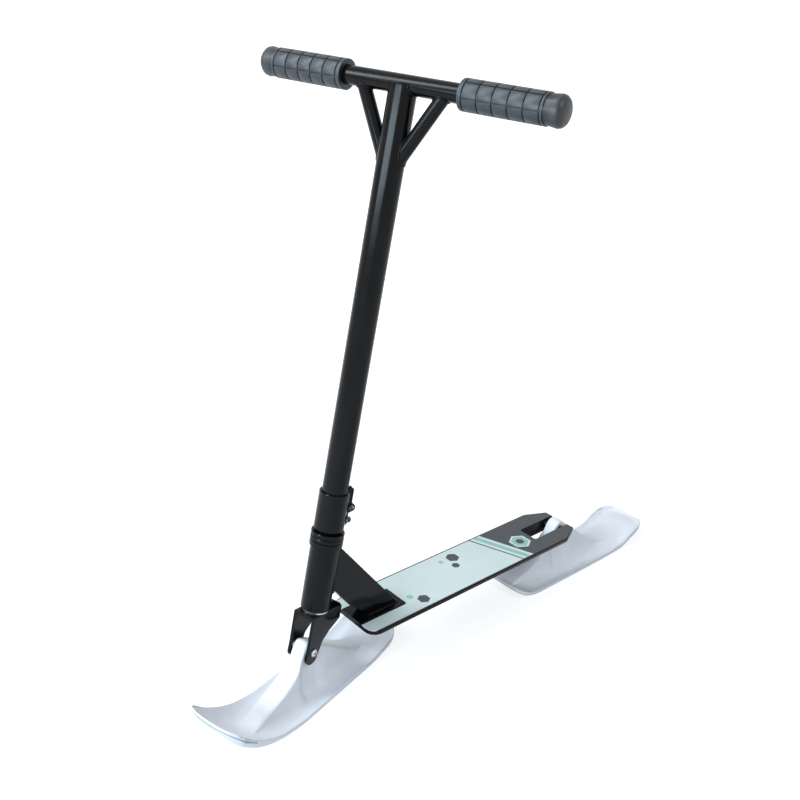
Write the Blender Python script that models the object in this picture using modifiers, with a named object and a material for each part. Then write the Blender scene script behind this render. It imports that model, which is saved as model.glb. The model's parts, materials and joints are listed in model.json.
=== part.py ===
"""Snow scooter: T-bar and fork on a raked head tube, a deck plate and two rocking skis.

Metres, +Z up. The scooter points along -Y and the rider's left is +X. The origin is on the ground,
at the middle of the scooter's length. The steering is shown turned to the rider's left.
"""
import math

import bmesh
import bpy
from mathutils import Matrix, Vector

# Fits, broken edges, how far a cutter runs past a face, and how near two places are taken as one
GAP = 0.0003
SIDE_PLAY = 0.0005
EDGE_BREAK = 0.0008
CUT_PAST = 0.010
WELD = 0.00001
SAME = 0.000001

# Steering axis and pose
RAKE = math.radians(10.07)
STEER_ANGLE = math.radians(15.05)
AXLE_STATION = 0.072
AXLE_LEAD = 0.0115

# T-bar, with stations measured up the steering axis from the ground
CROSS_STATION = 0.7595
CROSS_DIAMETER = 0.0210
CROSS_WALL = 0.002
CROSS_HALF_LENGTH = 0.188
BAR_DIAMETER = 0.0318
BAR_FOOT = 0.2365
BAR_SLOT_WIDTH = 0.003
BAR_SLOT_LENGTH = 0.044
GUSSET_DIAMETER = 0.0156
GUSSET_WALL = 0.0016
GUSSET_REACH = 0.0553
GUSSET_DROP = 0.078
GUSSET_FOOT_OFFSET = 0.0105

# Grips
GRIP_START = 0.0757
GRIP_DIAMETER = 0.0336
GRIP_END_WALL = 0.005
GRIP_FLANGE = 0.0045
GRIP_GROOVE = 0.0015
GRIP_GROOVE_DEPTH = 0.0013
GRIP_RING = 0.0025
GRIP_COLUMNS = 5
GRIP_ROWS = 6
GRIP_TURN = math.radians(15)
GRIP_CAP = 0.0111
GRIP_DOME = 0.008
GRIP_SHOULDER = 0.010
GRIP_RELIEF = 0.0001

# Clamp
CLAMP_DIAMETER = 0.0376
CLAMP_HEIGHT = 0.0492
CLAMP_TURN = math.radians(62)
EAR_REACH = 0.0237
EAR_THICKNESS = 0.003
CLAMP_SLIT = 0.003
EAR_FOOT = 0.004
EAR_WAIST = 0.0212
EAR_CORNER = 0.0015
EAR_STEP = 0.0005
EAR_TIP = 0.005
UPPER_LOBE_REACH = 0.0292
UPPER_LOBE_HALF = 0.0068
UPPER_LOBE_ROUND = 0.004
LOWER_LOBE_REACH = 0.0240
LOWER_LOBE_HALF = 0.0045
LOWER_LOBE_ROUND = 0.002
UPPER_BOLT_REACH = 0.0230
LOWER_BOLT_REACH = 0.0214
SPOT_PLAY = 0.0004
SPOT_DEPTH = 0.0003
CLAMP_BOLT_UPPER = 0.0221
CLAMP_BOLT_SPACING = 0.0150
CLAMP_BOLT_DIAMETER = 0.005
CLAMP_HEAD_DIAMETER = 0.0085
CLAMP_HEAD_HEIGHT = 0.0035
CLAMP_NUT_FLATS = 0.008
CLAMP_NUT_HEIGHT = 0.004

# Bolts, as shares of the head's radius and height
BOLT_END = 0.0012
SHANK_EDGE = 0.0005
HEAD_TOP_SHARE = 0.7
HEAD_SIDE_SHARE = 0.5
SOCKET_SHARE = 0.42
SOCKET_FLOOR = 0.35

# Headset and head tube
HEAD_BOTTOM = 0.132
HEAD_TOP = 0.213
HEAD_DIAMETER = 0.0378
HEAD_WALL = 0.0021
CUP_DIAMETER = 0.0418
CUP_FLANGE = 0.0078
CUP_SKIRT = 0.010
CUP_SKIRT_WALL = 0.0014
BEARING_DIAMETER = 0.0354
BEARING_HEIGHT = 0.0042
CONE_HEIGHT = 0.005
WASHER_HEIGHT = 0.0012
LOCK_NUT_HEIGHT = 0.0049
LOWER_CUP_FLANGE = 0.0050
RACE_HEIGHT = 0.002
RACE_DIAMETER = 0.0345
LOWER_BEARING_DIAMETER = 0.033
LOWER_BEARING_HEIGHT = 0.0033
STEERER_DIAMETER = 0.0286
STEERER_WALL = 0.0023
STEERER_TOP = 0.282

# Fork bracket
FORK_WIDTH = 0.032
FORK_PLATE = 0.004
CROWN_PLATE = 0.005
LEG_FRONT = 0.021
LEG_FOOT_RADIUS = 0.0105
LEG_FOOT_DROP = 0.007
LEG_FRONT_END = 0.012
LEG_FOOT_TURN = math.pi * 0.86
LEG_REAR = 0.0055
LEG_REAR_END = 0.010
LEG_KNEE = 0.0165
LEG_KNEE_DROP = 0.0315
FORK_FOLD = 0.003
CROWN_REAR = 0.036
CROWN_REAR_DEPTH = 0.020

# Ski axles
AXLE_DIAMETER = 0.006
AXLE_HEAD_DIAMETER = 0.0105
AXLE_HEAD_HEIGHT = 0.0033
AXLE_NUT_FLATS = 0.010
AXLE_NUT_HEIGHT = 0.0032
BUSH_DIAMETER = 0.0115
SPACER_DIAMETER = 0.016
REAR_SPACER_DIAMETER = 0.012

# Deck, with distances measured back from the foot of the steering axis
DECK_TOP = 0.0797
DECK_PLATE = 0.004
DECK_WIDTH = 0.090
DECK_FRONT = 0.080
DECK_CORNER = 0.016
DECK_SHOULDER = 0.462
DECK_END = 0.497
DECK_END_WIDTH = 0.056
DECK_END_CORNER = 0.002
SLOT_WIDTH = 0.030
SLOT_FRONT = 0.423
SLOT_CORNER = 0.003
SHEET_THICKNESS = 0.0008
SHEET_INSET = 0.0015
SHEET_SLOT_INSET = 0.001
FLANGE_WIDTH = 0.040
FLANGE_LENGTH = 0.0775
FLANGE_THICKNESS = 0.003
RAIL_THICKNESS = 0.0045
RAIL_DEPTH = 0.016
RAIL_FRONT = 0.120
RAIL_TOE = 0.004
RAIL_TOE_RUN = 0.030
REAR_AXLE_BACK = 0.487
REAR_AXLE_HEIGHT = 0.069
RAIL_END_RADIUS = 0.008

# Neck
NECK_WIDTH = 0.024
NECK_WALL = 0.0025
NECK_BEVEL = 0.007
NECK_EDGE = 0.002
NECK_TOP_STATION = 0.2169
NECK_TOP_BACK = 0.1495
NECK_BOTTOM_STATION = 0.149
NECK_BOTTOM_BACK = 0.1025
NECK_KNEE_STATION = 0.1245
NECK_KNEE_OFFSET = 0.0455
NECK_ROOT = 0.00945
NECK_RUN_OUT = 0.004

# Both skis
SKI_WIDTH = 0.083
SKI_PLATE = 0.0045
SKI_WALL = 0.0035
SKI_LIP = 0.0022
SKI_LIP_WIDTH = 0.0065
SKI_EDGE = 0.001
CURL_WIDTH = 0.012
CURL_MIDDLE = 0.5
HUMP_WIDTH = 0.020
HUMP_SPREAD = 0.004
SPREAD_START = 0.018
SPREAD_SPAN = 0.006
HUMP_FLARE = 0.005
HUMP_KNEE = 0.3
KNEE_LEAN = 0.05
SKIRT_SHARE = 0.4
LIP_START = 1.25
EDGE_ROLL = 0.0008
RIDGE_ROUND = 0.0022
RIDGE_DROP = 0.0030
SWELL_HEIGHT = 0.010
SWELL_SKIRT = 0.013
CREST_ROUND = 0.003
RAMP_ROUND = 0.005
TAIL_POWER = 1.6
NOSE_TAIL_POWER = 3.0
BOSS_DIAMETER = 0.019

# Front ski, with lengths measured from its axle
FRONT_NOSE = 0.165
FRONT_NOSE_RUN = 0.085
FRONT_NOSE_RISE = 0.0575
FRONT_NOSE_POWER = 1.8
FRONT_NOSE_LEVEL = 0.0
FRONT_NOSE_CORNER = 0.026
FRONT_CORNER_POWER = 3.0
FRONT_CURL = 0.014
FRONT_CURL_START = 0.035
FRONT_CURL_SPAN = 0.080
FRONT_TAIL = 0.169
FRONT_TAIL_RUN = 0.075
FRONT_TAIL_RISE = 0.016
FRONT_TAIL_CORNER = 0.040
FRONT_CREST = 0.0832
FRONT_STEEP_START = 0.004
FRONT_STEEP_SHARE = 0.293
FRONT_STEEP_NEAR = 0.009
FRONT_STEEP_FAR = 0.054
FRONT_RAMP = 0.105
FRONT_RAMP_POWER = 1.15

# Rear ski, with lengths measured from its axle
REAR_NOSE = 0.205
REAR_NOSE_RUN = 0.075
REAR_NOSE_RISE = 0.042
REAR_NOSE_POWER = 1.5
REAR_NOSE_LEVEL = 0.786
REAR_NOSE_CORNER = 0.060
REAR_CORNER_POWER = 2.5
REAR_CURL = 0.009
REAR_CURL_START = 0.105
REAR_CURL_SPAN = 0.055
REAR_TAIL = 0.114
REAR_TAIL_RUN = 0.045
REAR_TAIL_RISE = 0.012
REAR_TAIL_CORNER = 0.024
REAR_CREST = 0.0865
REAR_STEEP_START = 0.006
REAR_STEEP_SHARE = 0.3725
REAR_STEEP_NEAR = 0.012
REAR_STEEP_FAR = 0.048
REAR_RAMP = 0.112
REAR_RAMP_POWER = 1.35

# Fineness
SHARP_ANGLE = math.radians(32)
ROUND_STEPS = 28
TUBE_STEPS = 24
BRACE_STEPS = 20
SMALL_STEPS = 16
HEXAGON = 6
GRIP_STEPS = 32
DOME_STEPS = 4
ARC_STEPS = 5
LEG_STEPS = 8
BEVEL_STEPS = 3
NOSE_STEPS = 6
TAIL_STEPS = 3
HUMP_MARKS = (-0.100, -0.085, -0.065, -0.048, -0.034, -0.022, -0.013, -0.006, 0.0, 0.005, 0.010, 0.015,
              0.021, 0.030, 0.042, 0.056, 0.072)

# Sizes that follow from the ones above
BAR_BORE = STEERER_DIAMETER + 2 * GAP
CLAMP_BORE = BAR_DIAMETER + 2 * GAP
GRIP_LENGTH = CROSS_HALF_LENGTH + GAP + GRIP_END_WALL - GRIP_START
GRIP_COLUMNS_LENGTH = GRIP_LENGTH - GRIP_DOME - GRIP_CAP - GRIP_FLANGE - GRIP_RING - 2 * GRIP_GROOVE
GRIP_COLUMN_LENGTH = GRIP_COLUMNS_LENGTH / GRIP_COLUMNS
CLAMP_FOOT = BAR_FOOT
CLAMP_TOP = CLAMP_FOOT + CLAMP_HEIGHT
HEAD_BORE = HEAD_DIAMETER - 2 * HEAD_WALL
UPPER_CUP_TOP = HEAD_TOP + GAP + CUP_FLANGE
CONE_FOOT = UPPER_CUP_TOP + GAP
CONE_TOP = CONE_FOOT + CONE_HEIGHT
WASHER_FOOT = CONE_TOP + GAP
LOCK_NUT_FOOT = WASHER_FOOT + WASHER_HEIGHT + GAP
LOWER_CUP_FOOT = HEAD_BOTTOM - GAP - LOWER_CUP_FLANGE
RACE_FOOT = LOWER_CUP_FOOT - GAP - RACE_HEIGHT
CROWN_TOP = RACE_FOOT - GAP
LEG_INNER = FORK_WIDTH / 2 - FORK_PLATE
HUMP_HALF = HUMP_WIDTH / 2
DECK_UNDER = DECK_TOP - DECK_PLATE
FLANGE_FOOT = DECK_TOP + GAP
FLANGE_TOP = FLANGE_FOOT + FLANGE_THICKNESS
RAIL_TOP = DECK_UNDER - GAP
RAIL_INNER = SLOT_WIDTH / 2
SKI_HALF = SKI_WIDTH / 2


def clear_scene():
    for old in list(bpy.data.objects):
        bpy.data.objects.remove(old, do_unlink=True)


def new_collection(name):
    made = bpy.data.collections.new(name)
    bpy.context.scene.collection.children.link(made)
    return made


clear_scene()
PARTS = new_collection("snow_scooter")
CUTTERS = new_collection("cutters")


def make_material(name, color, roughness, metallic):
    made = bpy.data.materials.new(name)
    made.use_nodes = True
    shader = made.node_tree.nodes["Principled BSDF"]
    shader.inputs["Base Color"].default_value = (*color, 1.0)
    shader.inputs["Roughness"].default_value = roughness
    shader.inputs["Metallic"].default_value = metallic
    made.diffuse_color = (*color, 1.0)
    return made


BLACK_PAINT = make_material("black_paint", (0.012, 0.013, 0.015), 0.35, 0.3)
GRIP_RUBBER = make_material("grip_rubber", (0.035, 0.042, 0.048), 0.75, 0.0)
WHITE_PLASTIC = make_material("white_plastic", (0.82, 0.85, 0.88), 0.4, 0.0)
BRIGHT_STEEL = make_material("bright_steel", (0.62, 0.63, 0.65), 0.3, 1.0)
SHEET_PRINT = make_material("sheet_print", (0.64, 0.76, 0.78), 0.6, 0.0)
BUSH_PLASTIC = make_material("bush_plastic", (0.08, 0.08, 0.085), 0.5, 0.0)


def make_frame(name, matrix, parent=None):
    """An empty that pieces are placed under. Its Z axis or its X axis is a joint's axis."""
    empty = bpy.data.objects.new(name, None)
    PARTS.objects.link(empty)
    empty.parent = parent
    empty.matrix_local = matrix
    return empty


def make_object(name, mesh, material, parent=None, matrix=None):
    piece = bpy.data.objects.new(name, mesh)
    PARTS.objects.link(piece)
    mesh.materials.clear()
    mesh.materials.append(material)
    piece.parent = parent
    if matrix is not None:
        piece.matrix_local = matrix
    return piece


def make_cutter(name, mesh, parent=None, matrix=None):
    tool = bpy.data.objects.new(name, mesh)
    CUTTERS.objects.link(tool)
    tool.parent = parent
    if matrix is not None:
        tool.matrix_local = matrix
    tool.hide_render = True
    tool.display_type = "WIRE"
    return tool


def combine(piece, tool, operation="DIFFERENCE"):
    change = piece.modifiers.new(tool.name, "BOOLEAN")
    change.operation = operation
    change.solver = "EXACT"
    change.object = tool
    return piece


def smooth(mesh):
    mesh.shade_smooth()
    mesh.set_sharp_from_angle(angle=SHARP_ANGLE)


def mesh_from(bm, name):
    bmesh.ops.recalc_face_normals(bm, faces=bm.faces)
    mesh = bpy.data.meshes.new(name)
    bm.to_mesh(mesh)
    bm.free()
    smooth(mesh)
    return mesh


def rod_mesh(name, radius, start, end, steps=SMALL_STEPS):
    """A round bar along Z."""
    bm = bmesh.new()
    middle = Matrix.Translation((0, 0, (start + end) / 2))
    bmesh.ops.create_cone(bm, cap_ends=True, segments=steps, radius1=radius, radius2=radius,
                          depth=end - start, matrix=middle)
    return mesh_from(bm, name)


def box_mesh(name, low, high):
    bm = bmesh.new()
    size = [h - l for l, h in zip(low, high)]
    middle = [(h + l) / 2 for l, h in zip(low, high)]
    bmesh.ops.create_cube(bm, size=1.0, matrix=Matrix.Translation(middle) @ Matrix.Diagonal((*size, 1)))
    return mesh_from(bm, name)


def turned_mesh(name, profile, ring=True):
    """A mesh of a (radius, height) profile, for a Screw modifier about Z."""
    verts = [(radius, 0, height) for radius, height in profile]
    count = len(verts)
    edges = [(i, (i + 1) % count) for i in range(count if ring else count - 1)]
    mesh = bpy.data.meshes.new(name)
    mesh.from_pydata(verts, edges, [])
    return mesh


def spin(piece, steps):
    turn = piece.modifiers.new("turn", "SCREW")
    turn.axis = "Z"
    turn.angle = 2 * math.pi
    turn.steps = steps
    turn.render_steps = steps
    turn.use_merge_vertices = True
    turn.merge_threshold = WELD
    turn.use_smooth_shade = True
    return piece


def turned(name, profile, material, parent, matrix=None, steps=ROUND_STEPS, ring=True):
    return spin(make_object(name, turned_mesh(name, profile, ring), material, parent, matrix), steps)


def tube_profile(outer, inner, foot, top, edge=0.0):
    """Clockwise ring profile, with a small chamfer on the outer edges."""
    return [(outer - edge, top), (outer, top - edge), (outer, foot + edge), (outer - edge, foot),
            (inner, foot), (inner, top)] if edge else [(outer, top), (outer, foot), (inner, foot), (inner, top)]


def rounded(corners, steps=ARC_STEPS):
    """Outline points from (x, y, radius) corners, with an arc at each corner that has a radius."""
    points = []
    count = len(corners)
    for i, (x, y, radius) in enumerate(corners):
        here = Vector((x, y))
        if radius <= 0:
            points.append(here)
            continue
        back = (Vector(corners[i - 1][:2]) - here).normalized()
        ahead = (Vector(corners[(i + 1) % count][:2]) - here).normalized()
        half = back.angle(ahead) / 2
        centre = here + (back + ahead).normalized() * radius / math.sin(half)
        start = here + back * radius / math.tan(half) - centre
        end = here + ahead * radius / math.tan(half) - centre
        turn = start.angle_signed(end)
        for k in range(steps + 1):
            angle = -turn * k / steps
            points.append(centre + Matrix.Rotation(angle, 2) @ start)
    return [(p.x, p.y) for p in points]


def plate_mesh(name, loops, thickness):
    """A flat plate in XY from a closed outline and its holes, welded into one closed mesh."""
    curve = bpy.data.curves.new(name, "CURVE")
    curve.dimensions = "2D"
    curve.fill_mode = "BOTH"
    curve.extrude = thickness / 2
    for loop in loops:
        spline = curve.splines.new("POLY")
        spline.points.add(len(loop) - 1)
        for point, (x, y) in zip(spline.points, loop):
            point.co = (x, y, 0, 1)
        spline.use_cyclic_u = True
    guide = bpy.data.objects.new(name, curve)
    CUTTERS.objects.link(guide)
    shape = guide.evaluated_get(bpy.context.evaluated_depsgraph_get())
    mesh = bpy.data.meshes.new_from_object(shape)
    bpy.data.objects.remove(guide, do_unlink=True)
    bm = bmesh.new()
    bm.from_mesh(mesh)
    bmesh.ops.remove_doubles(bm, verts=bm.verts, dist=WELD)
    bmesh.ops.recalc_face_normals(bm, faces=bm.faces)
    bm.to_mesh(mesh)
    bm.free()
    smooth(mesh)
    return mesh


def weigh_edges(mesh, weight):
    """Give each edge its share of a bevel's width, from the places of its two ends."""
    weights = mesh.attributes.new("bevel_weight_edge", "FLOAT", "EDGE")
    for edge in mesh.edges:
        weights.data[edge.index].value = weight(*(mesh.vertices[i].co for i in edge.vertices))


def circle(x, y, radius, steps=SMALL_STEPS):
    return [(x + radius * math.cos(2 * math.pi * k / steps), y + radius * math.sin(2 * math.pi * k / steps))
            for k in range(steps)]


# A plate drawn in XY stands on edge: its X runs along Y, its Y along Z and its thickness along X.
ON_EDGE = Matrix(((0, 0, 1, 0), (1, 0, 0, 0), (0, 1, 0, 0), (0, 0, 0, 1)))
# A plate drawn in XY stands upright: its X stays along X and its Y runs along Z.
UPRIGHT = Matrix.Rotation(math.pi / 2, 4, "X")
ALONG_X = Matrix.Rotation(math.pi / 2, 4, "Y")


def smooth_step(value):
    t = min(1.0, max(0.0, value))
    return t * t * (3 - 2 * t)


class Outline:
    """Plan of a ski's two rounded ends."""

    def __init__(self, nose, nose_corner, nose_power, tail, tail_corner):
        self.nose = nose
        self.nose_corner = nose_corner
        self.nose_power = nose_power
        self.tail = tail
        self.tail_corner = tail_corner

    def end(self, x, corner, power, length):
        """Distance of the rounded end from the axle at the width x."""
        share = min(1.0, abs(x) / SKI_HALF)
        return length - corner * (1 - (1 - share ** power) ** (1 / power))

    def ahead(self, x):
        return self.end(x, self.nose_corner, self.nose_power, self.nose)

    def behind(self, x):
        return self.end(x, self.tail_corner, NOSE_TAIL_POWER, self.tail)


class Sole:
    """How the underside leaves the ground at the nose and the tail, and how its edges curl up."""

    def __init__(self, run, rise, power, level, curl, curl_start, curl_span, tail_run, tail_rise):
        self.run = run
        self.rise = rise
        self.power = power
        self.level = level
        self.curl = curl
        self.curl_start = curl_start
        self.curl_span = curl_span
        self.tail_run = tail_run
        self.tail_rise = tail_rise

    def height(self, outline, u, x):
        ahead = max(0.0, (u - outline.nose + self.run) / self.run)
        nose = self.rise * ahead ** self.power * (1 - self.level * ahead * ahead)
        behind = max(0.0, (-u - outline.tail + self.tail_run) / self.tail_run)
        tail = self.tail_rise * behind ** TAIL_POWER
        inside = min(SKI_HALF - abs(x), outline.ahead(x) - u)
        curl = self.curl * smooth_step((u - self.curl_start) / self.curl_span)
        curl *= CURL_MIDDLE + (1 - CURL_MIDDLE) * (x / SKI_HALF) ** 2
        return nose + tail + curl * max(0.0, 1 - inside / CURL_WIDTH) ** 2


class Ridge:
    """Side view of the hump: a steep concave face on one side of the axle and a long ramp on the other."""

    def __init__(self, side, crest, steep_start, steep_share, steep_near, steep_far, ramp, ramp_power):
        self.side = side
        self.crest = crest
        self.steep_start = steep_start
        self.steep_share = steep_share
        self.steep_near = steep_near
        self.steep_far = steep_far
        self.ramp = ramp
        self.ramp_power = ramp_power

    def height(self, u):
        away = u * self.side
        drop = math.hypot(max(0.0, away - self.steep_start), CREST_ROUND) - CREST_ROUND
        steep = self.steep_share * math.exp(-drop / self.steep_near)
        steep += (1 - self.steep_share) * math.exp(-drop / self.steep_far)
        slide = math.hypot(away, RAMP_ROUND) - RAMP_ROUND
        ramp = max(0.0, 1 - slide / self.ramp) ** self.ramp_power
        return SWELL_HEIGHT + (self.crest - SWELL_HEIGHT) * min(steep, ramp)


class SkiShape:
    """One ski's top and bottom. Lengths run from the axle, positive towards the upturned nose."""

    def __init__(self, outline, sole, ridge, axle_height):
        self.outline = outline
        self.sole = sole
        self.ridge = ridge
        self.axle_height = axle_height

    def lip(self, u, x):
        """Extra height of the rolled edge, near the sides and the two ends."""
        inside = min(SKI_HALF - abs(x), self.outline.ahead(x) - u, self.outline.behind(x) + u)
        return SKI_LIP * smooth_step(LIP_START * (1 - inside / SKI_LIP_WIDTH))

    def spread(self, u):
        """Half the width of the hump's top, which widens once it is clear of the fork or the deck."""
        away = math.hypot(u, self.ridge.height(u) - self.axle_height)
        return HUMP_HALF + HUMP_SPREAD * smooth_step((away - SPREAD_START) / SPREAD_SPAN)

    def stations(self):
        """Places along the ski from the tail to the nose, closer together where the shape bends."""
        outline = self.outline
        sole = self.sole
        edge = [0.0, SKI_EDGE, SKI_LIP_WIDTH / 2, SKI_LIP_WIDTH, CURL_WIDTH]
        marks = [d - outline.tail for d in edge]
        marks += [sole.tail_run * k / TAIL_STEPS - outline.tail for k in range(1, TAIL_STEPS)]
        marks += [self.ridge.side * d for d in HUMP_MARKS]
        marks += [outline.nose - sole.run * k / NOSE_STEPS for k in range(1, NOSE_STEPS + 1)]
        marks += [outline.nose - d for d in edge]
        kept = []
        for mark in sorted(marks):
            if not kept or mark - kept[-1] > SKI_EDGE - SAME:
                kept.append(mark)
        return kept

    def place(self, u, x):
        """Draw the stations near either end together so that the last one follows the rounded outline."""
        outline = self.outline
        ahead = max(0.0, (u - outline.nose + self.sole.run) / self.sole.run)
        behind = max(0.0, (self.sole.tail_run - outline.tail - u) / self.sole.tail_run)
        return u - ahead * (outline.nose - outline.ahead(x)) + behind * (outline.tail - outline.behind(x))

    def section(self, mark):
        """Half a cross-section from the middle outwards: places, heights on top, and the hollow's."""
        ridge = self.spread(mark)
        foot = ridge + HUMP_FLARE
        crest = self.ridge.height(mark)
        rise = crest - SWELL_HEIGHT
        knee = SWELL_HEIGHT + HUMP_KNEE * rise
        shoulder = crest - min(RIDGE_DROP, rise / 2)
        lean = HUMP_FLARE * KNEE_LEAN
        low = SKI_PLATE
        half = SKI_HALF
        top = [(0, crest), (ridge - RIDGE_ROUND, crest), (ridge, shoulder), (ridge + lean, knee),
               (foot, SWELL_HEIGHT), (foot + SWELL_SKIRT / 2, low + SKIRT_SHARE * (SWELL_HEIGHT - low)),
               (half - CURL_WIDTH, low), (half - SKI_LIP_WIDTH, low), (half - SKI_LIP_WIDTH / 2, low),
               (half - SKI_EDGE, low), (half, low)]
        wall = SKI_WALL
        inside = [0, ridge - RIDGE_ROUND - wall / 2, ridge - wall, ridge + lean - wall, foot - wall / 2]
        under = [crest - wall, crest - wall, shoulder - wall / 2, knee - wall, 0]
        return top, inside, under

    def grid(self):
        """Top and bottom rows of points in the ski's own frame, whose origin is on the axle."""
        rows = []
        for mark in self.stations():
            top, inside, under = self.section(mark)
            last = len(top) - 1
            row = []
            for side in (-1, 1):
                for j in range(last, -1, -1) if side < 0 else range(1, last + 1):
                    x, nominal = top[j]
                    u = self.place(mark, x)
                    sole = self.sole.height(self.outline, u, x)
                    skin = sole + SKI_PLATE + self.lip(u, x)
                    z = max(skin, nominal)
                    below_x = x
                    below = sole
                    if j < len(inside) and nominal > skin + SKI_WALL:
                        below_x = inside[j]
                        below = max(sole, under[j])
                    if j == last:
                        z -= EDGE_ROLL
                        below += SKI_EDGE
                    lift = self.axle_height
                    row.append(((side * x, -u, z - lift), (side * below_x, -u, below - lift)))
            rows.append(row)
        return rows


FRONT_OUTLINE = Outline(FRONT_NOSE, FRONT_NOSE_CORNER, FRONT_CORNER_POWER, FRONT_TAIL, FRONT_TAIL_CORNER)
REAR_OUTLINE = Outline(REAR_NOSE, REAR_NOSE_CORNER, REAR_CORNER_POWER, REAR_TAIL, REAR_TAIL_CORNER)
FRONT_SOLE = Sole(FRONT_NOSE_RUN, FRONT_NOSE_RISE, FRONT_NOSE_POWER, FRONT_NOSE_LEVEL, FRONT_CURL,
                  FRONT_CURL_START, FRONT_CURL_SPAN, FRONT_TAIL_RUN, FRONT_TAIL_RISE)
REAR_SOLE = Sole(REAR_NOSE_RUN, REAR_NOSE_RISE, REAR_NOSE_POWER, REAR_NOSE_LEVEL, REAR_CURL,
                 REAR_CURL_START, REAR_CURL_SPAN, REAR_TAIL_RUN, REAR_TAIL_RISE)
FRONT_RIDGE = Ridge(1, FRONT_CREST, FRONT_STEEP_START, FRONT_STEEP_SHARE, FRONT_STEEP_NEAR, FRONT_STEEP_FAR,
                    FRONT_RAMP, FRONT_RAMP_POWER)
REAR_RIDGE = Ridge(-1, REAR_CREST, REAR_STEEP_START, REAR_STEEP_SHARE, REAR_STEEP_NEAR, REAR_STEEP_FAR,
                   REAR_RAMP, REAR_RAMP_POWER)


def ski_mesh(name, shape):
    """Loft the cross-sections into one closed moulding, open under the hump."""
    rows = shape.grid()
    bm = bmesh.new()
    top = [[bm.verts.new(upper) for upper, lower in row] for row in rows]
    bottom = [[bm.verts.new(lower) for upper, lower in row] for row in rows]
    last_row = len(rows) - 1
    last = len(rows[0]) - 1
    for i in range(last_row):
        for j in range(last):
            bm.faces.new((top[i][j], top[i][j + 1], top[i + 1][j + 1], top[i + 1][j]))
            bm.faces.new((bottom[i][j], bottom[i + 1][j], bottom[i + 1][j + 1], bottom[i][j + 1]))
        for j in (0, last):
            bm.faces.new((top[i][j], top[i + 1][j], bottom[i + 1][j], bottom[i][j]))
    for i in (0, last_row):
        for j in range(last):
            bm.faces.new((top[i][j], top[i][j + 1], bottom[i][j + 1], bottom[i][j]))
    return mesh_from(bm, name)


# Where the steering stands
TILT = Matrix.Rotation(-RAKE, 4, "X")
TURN = Matrix.Rotation(STEER_ANGLE, 4, "Z")
TURNED = TILT @ TURN
FRONT_AXLE = TURNED @ Vector((0, -AXLE_LEAD, AXLE_STATION))
LEFT = TURNED @ Vector((1, 0, 0))

# The front ski hangs square to its axle, level lengthwise, and stands on its left edge when turned left.
SKI_PITCH = Matrix.Rotation(math.atan(math.tan(RAKE) * math.cos(STEER_ANGLE)), 4, "X")
SKI_PLACE = Matrix.Translation(FRONT_AXLE) @ TURNED @ SKI_PITCH
FRONT_HEIGHT = (FRONT_AXLE.z + (SKI_HALF - SKI_EDGE) * LEFT.z) / math.sqrt(1 - LEFT.z ** 2)
FRONT_SHAPE = SkiShape(FRONT_OUTLINE, FRONT_SOLE, FRONT_RIDGE, FRONT_HEIGHT)
REAR_SHAPE = SkiShape(REAR_OUTLINE, REAR_SOLE, REAR_RIDGE, REAR_AXLE_HEIGHT)


def front_reach():
    """How far the front ski's nose reaches ahead of the foot of the steering axis."""
    return max(-(SKI_PLACE @ Vector(point)).y for row in FRONT_SHAPE.grid() for pair in row for point in pair)


FOOT_Y = (front_reach() - REAR_AXLE_BACK - REAR_NOSE) / 2
GROUND = Matrix.Translation((0, FOOT_Y, 0))

FRAME_AXIS = make_frame("frame_axis", GROUND @ TILT)
STEER_AXIS = make_frame("steering_axis", GROUND @ TURNED)
FRONT_PIVOT = make_frame("front_ski_pivot", Matrix.Translation((0, -AXLE_LEAD, AXLE_STATION)), STEER_AXIS)
REAR_PIVOT = make_frame("rear_ski_pivot", Matrix.Translation((0, FOOT_Y + REAR_AXLE_BACK, REAR_AXLE_HEIGHT)))
bpy.context.view_layer.update()


def make_bar():
    bore = BAR_BORE / 2
    outer = BAR_DIAMETER / 2
    top = CROSS_STATION
    tube = turned("bar_downtube", tube_profile(outer, bore, BAR_FOOT, top), BLACK_PAINT, STEER_AXIS)
    cope = rod_mesh("cope", CROSS_DIAMETER / 2 + GAP, -BAR_DIAMETER, BAR_DIAMETER, ROUND_STEPS)
    combine(tube, make_cutter("cope", cope, STEER_AXIS, Matrix.Translation((0, 0, CROSS_STATION)) @ ALONG_X))
    slot = box_mesh("bar_slot", (0, -BAR_SLOT_WIDTH / 2, BAR_FOOT - CUT_PAST),
                    (BAR_DIAMETER, BAR_SLOT_WIDTH / 2, BAR_FOOT + BAR_SLOT_LENGTH))
    combine(tube, make_cutter("bar_slot", slot, STEER_AXIS, Matrix.Rotation(CLAMP_TURN, 4, "Z")))
    cross_profile = tube_profile(CROSS_DIAMETER / 2, CROSS_DIAMETER / 2 - CROSS_WALL,
                                 -CROSS_HALF_LENGTH, CROSS_HALF_LENGTH)
    turned("bar_crosstube", cross_profile, BLACK_PAINT, STEER_AXIS,
           Matrix.Translation((0, 0, CROSS_STATION)) @ ALONG_X, steps=TUBE_STEPS)


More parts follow.
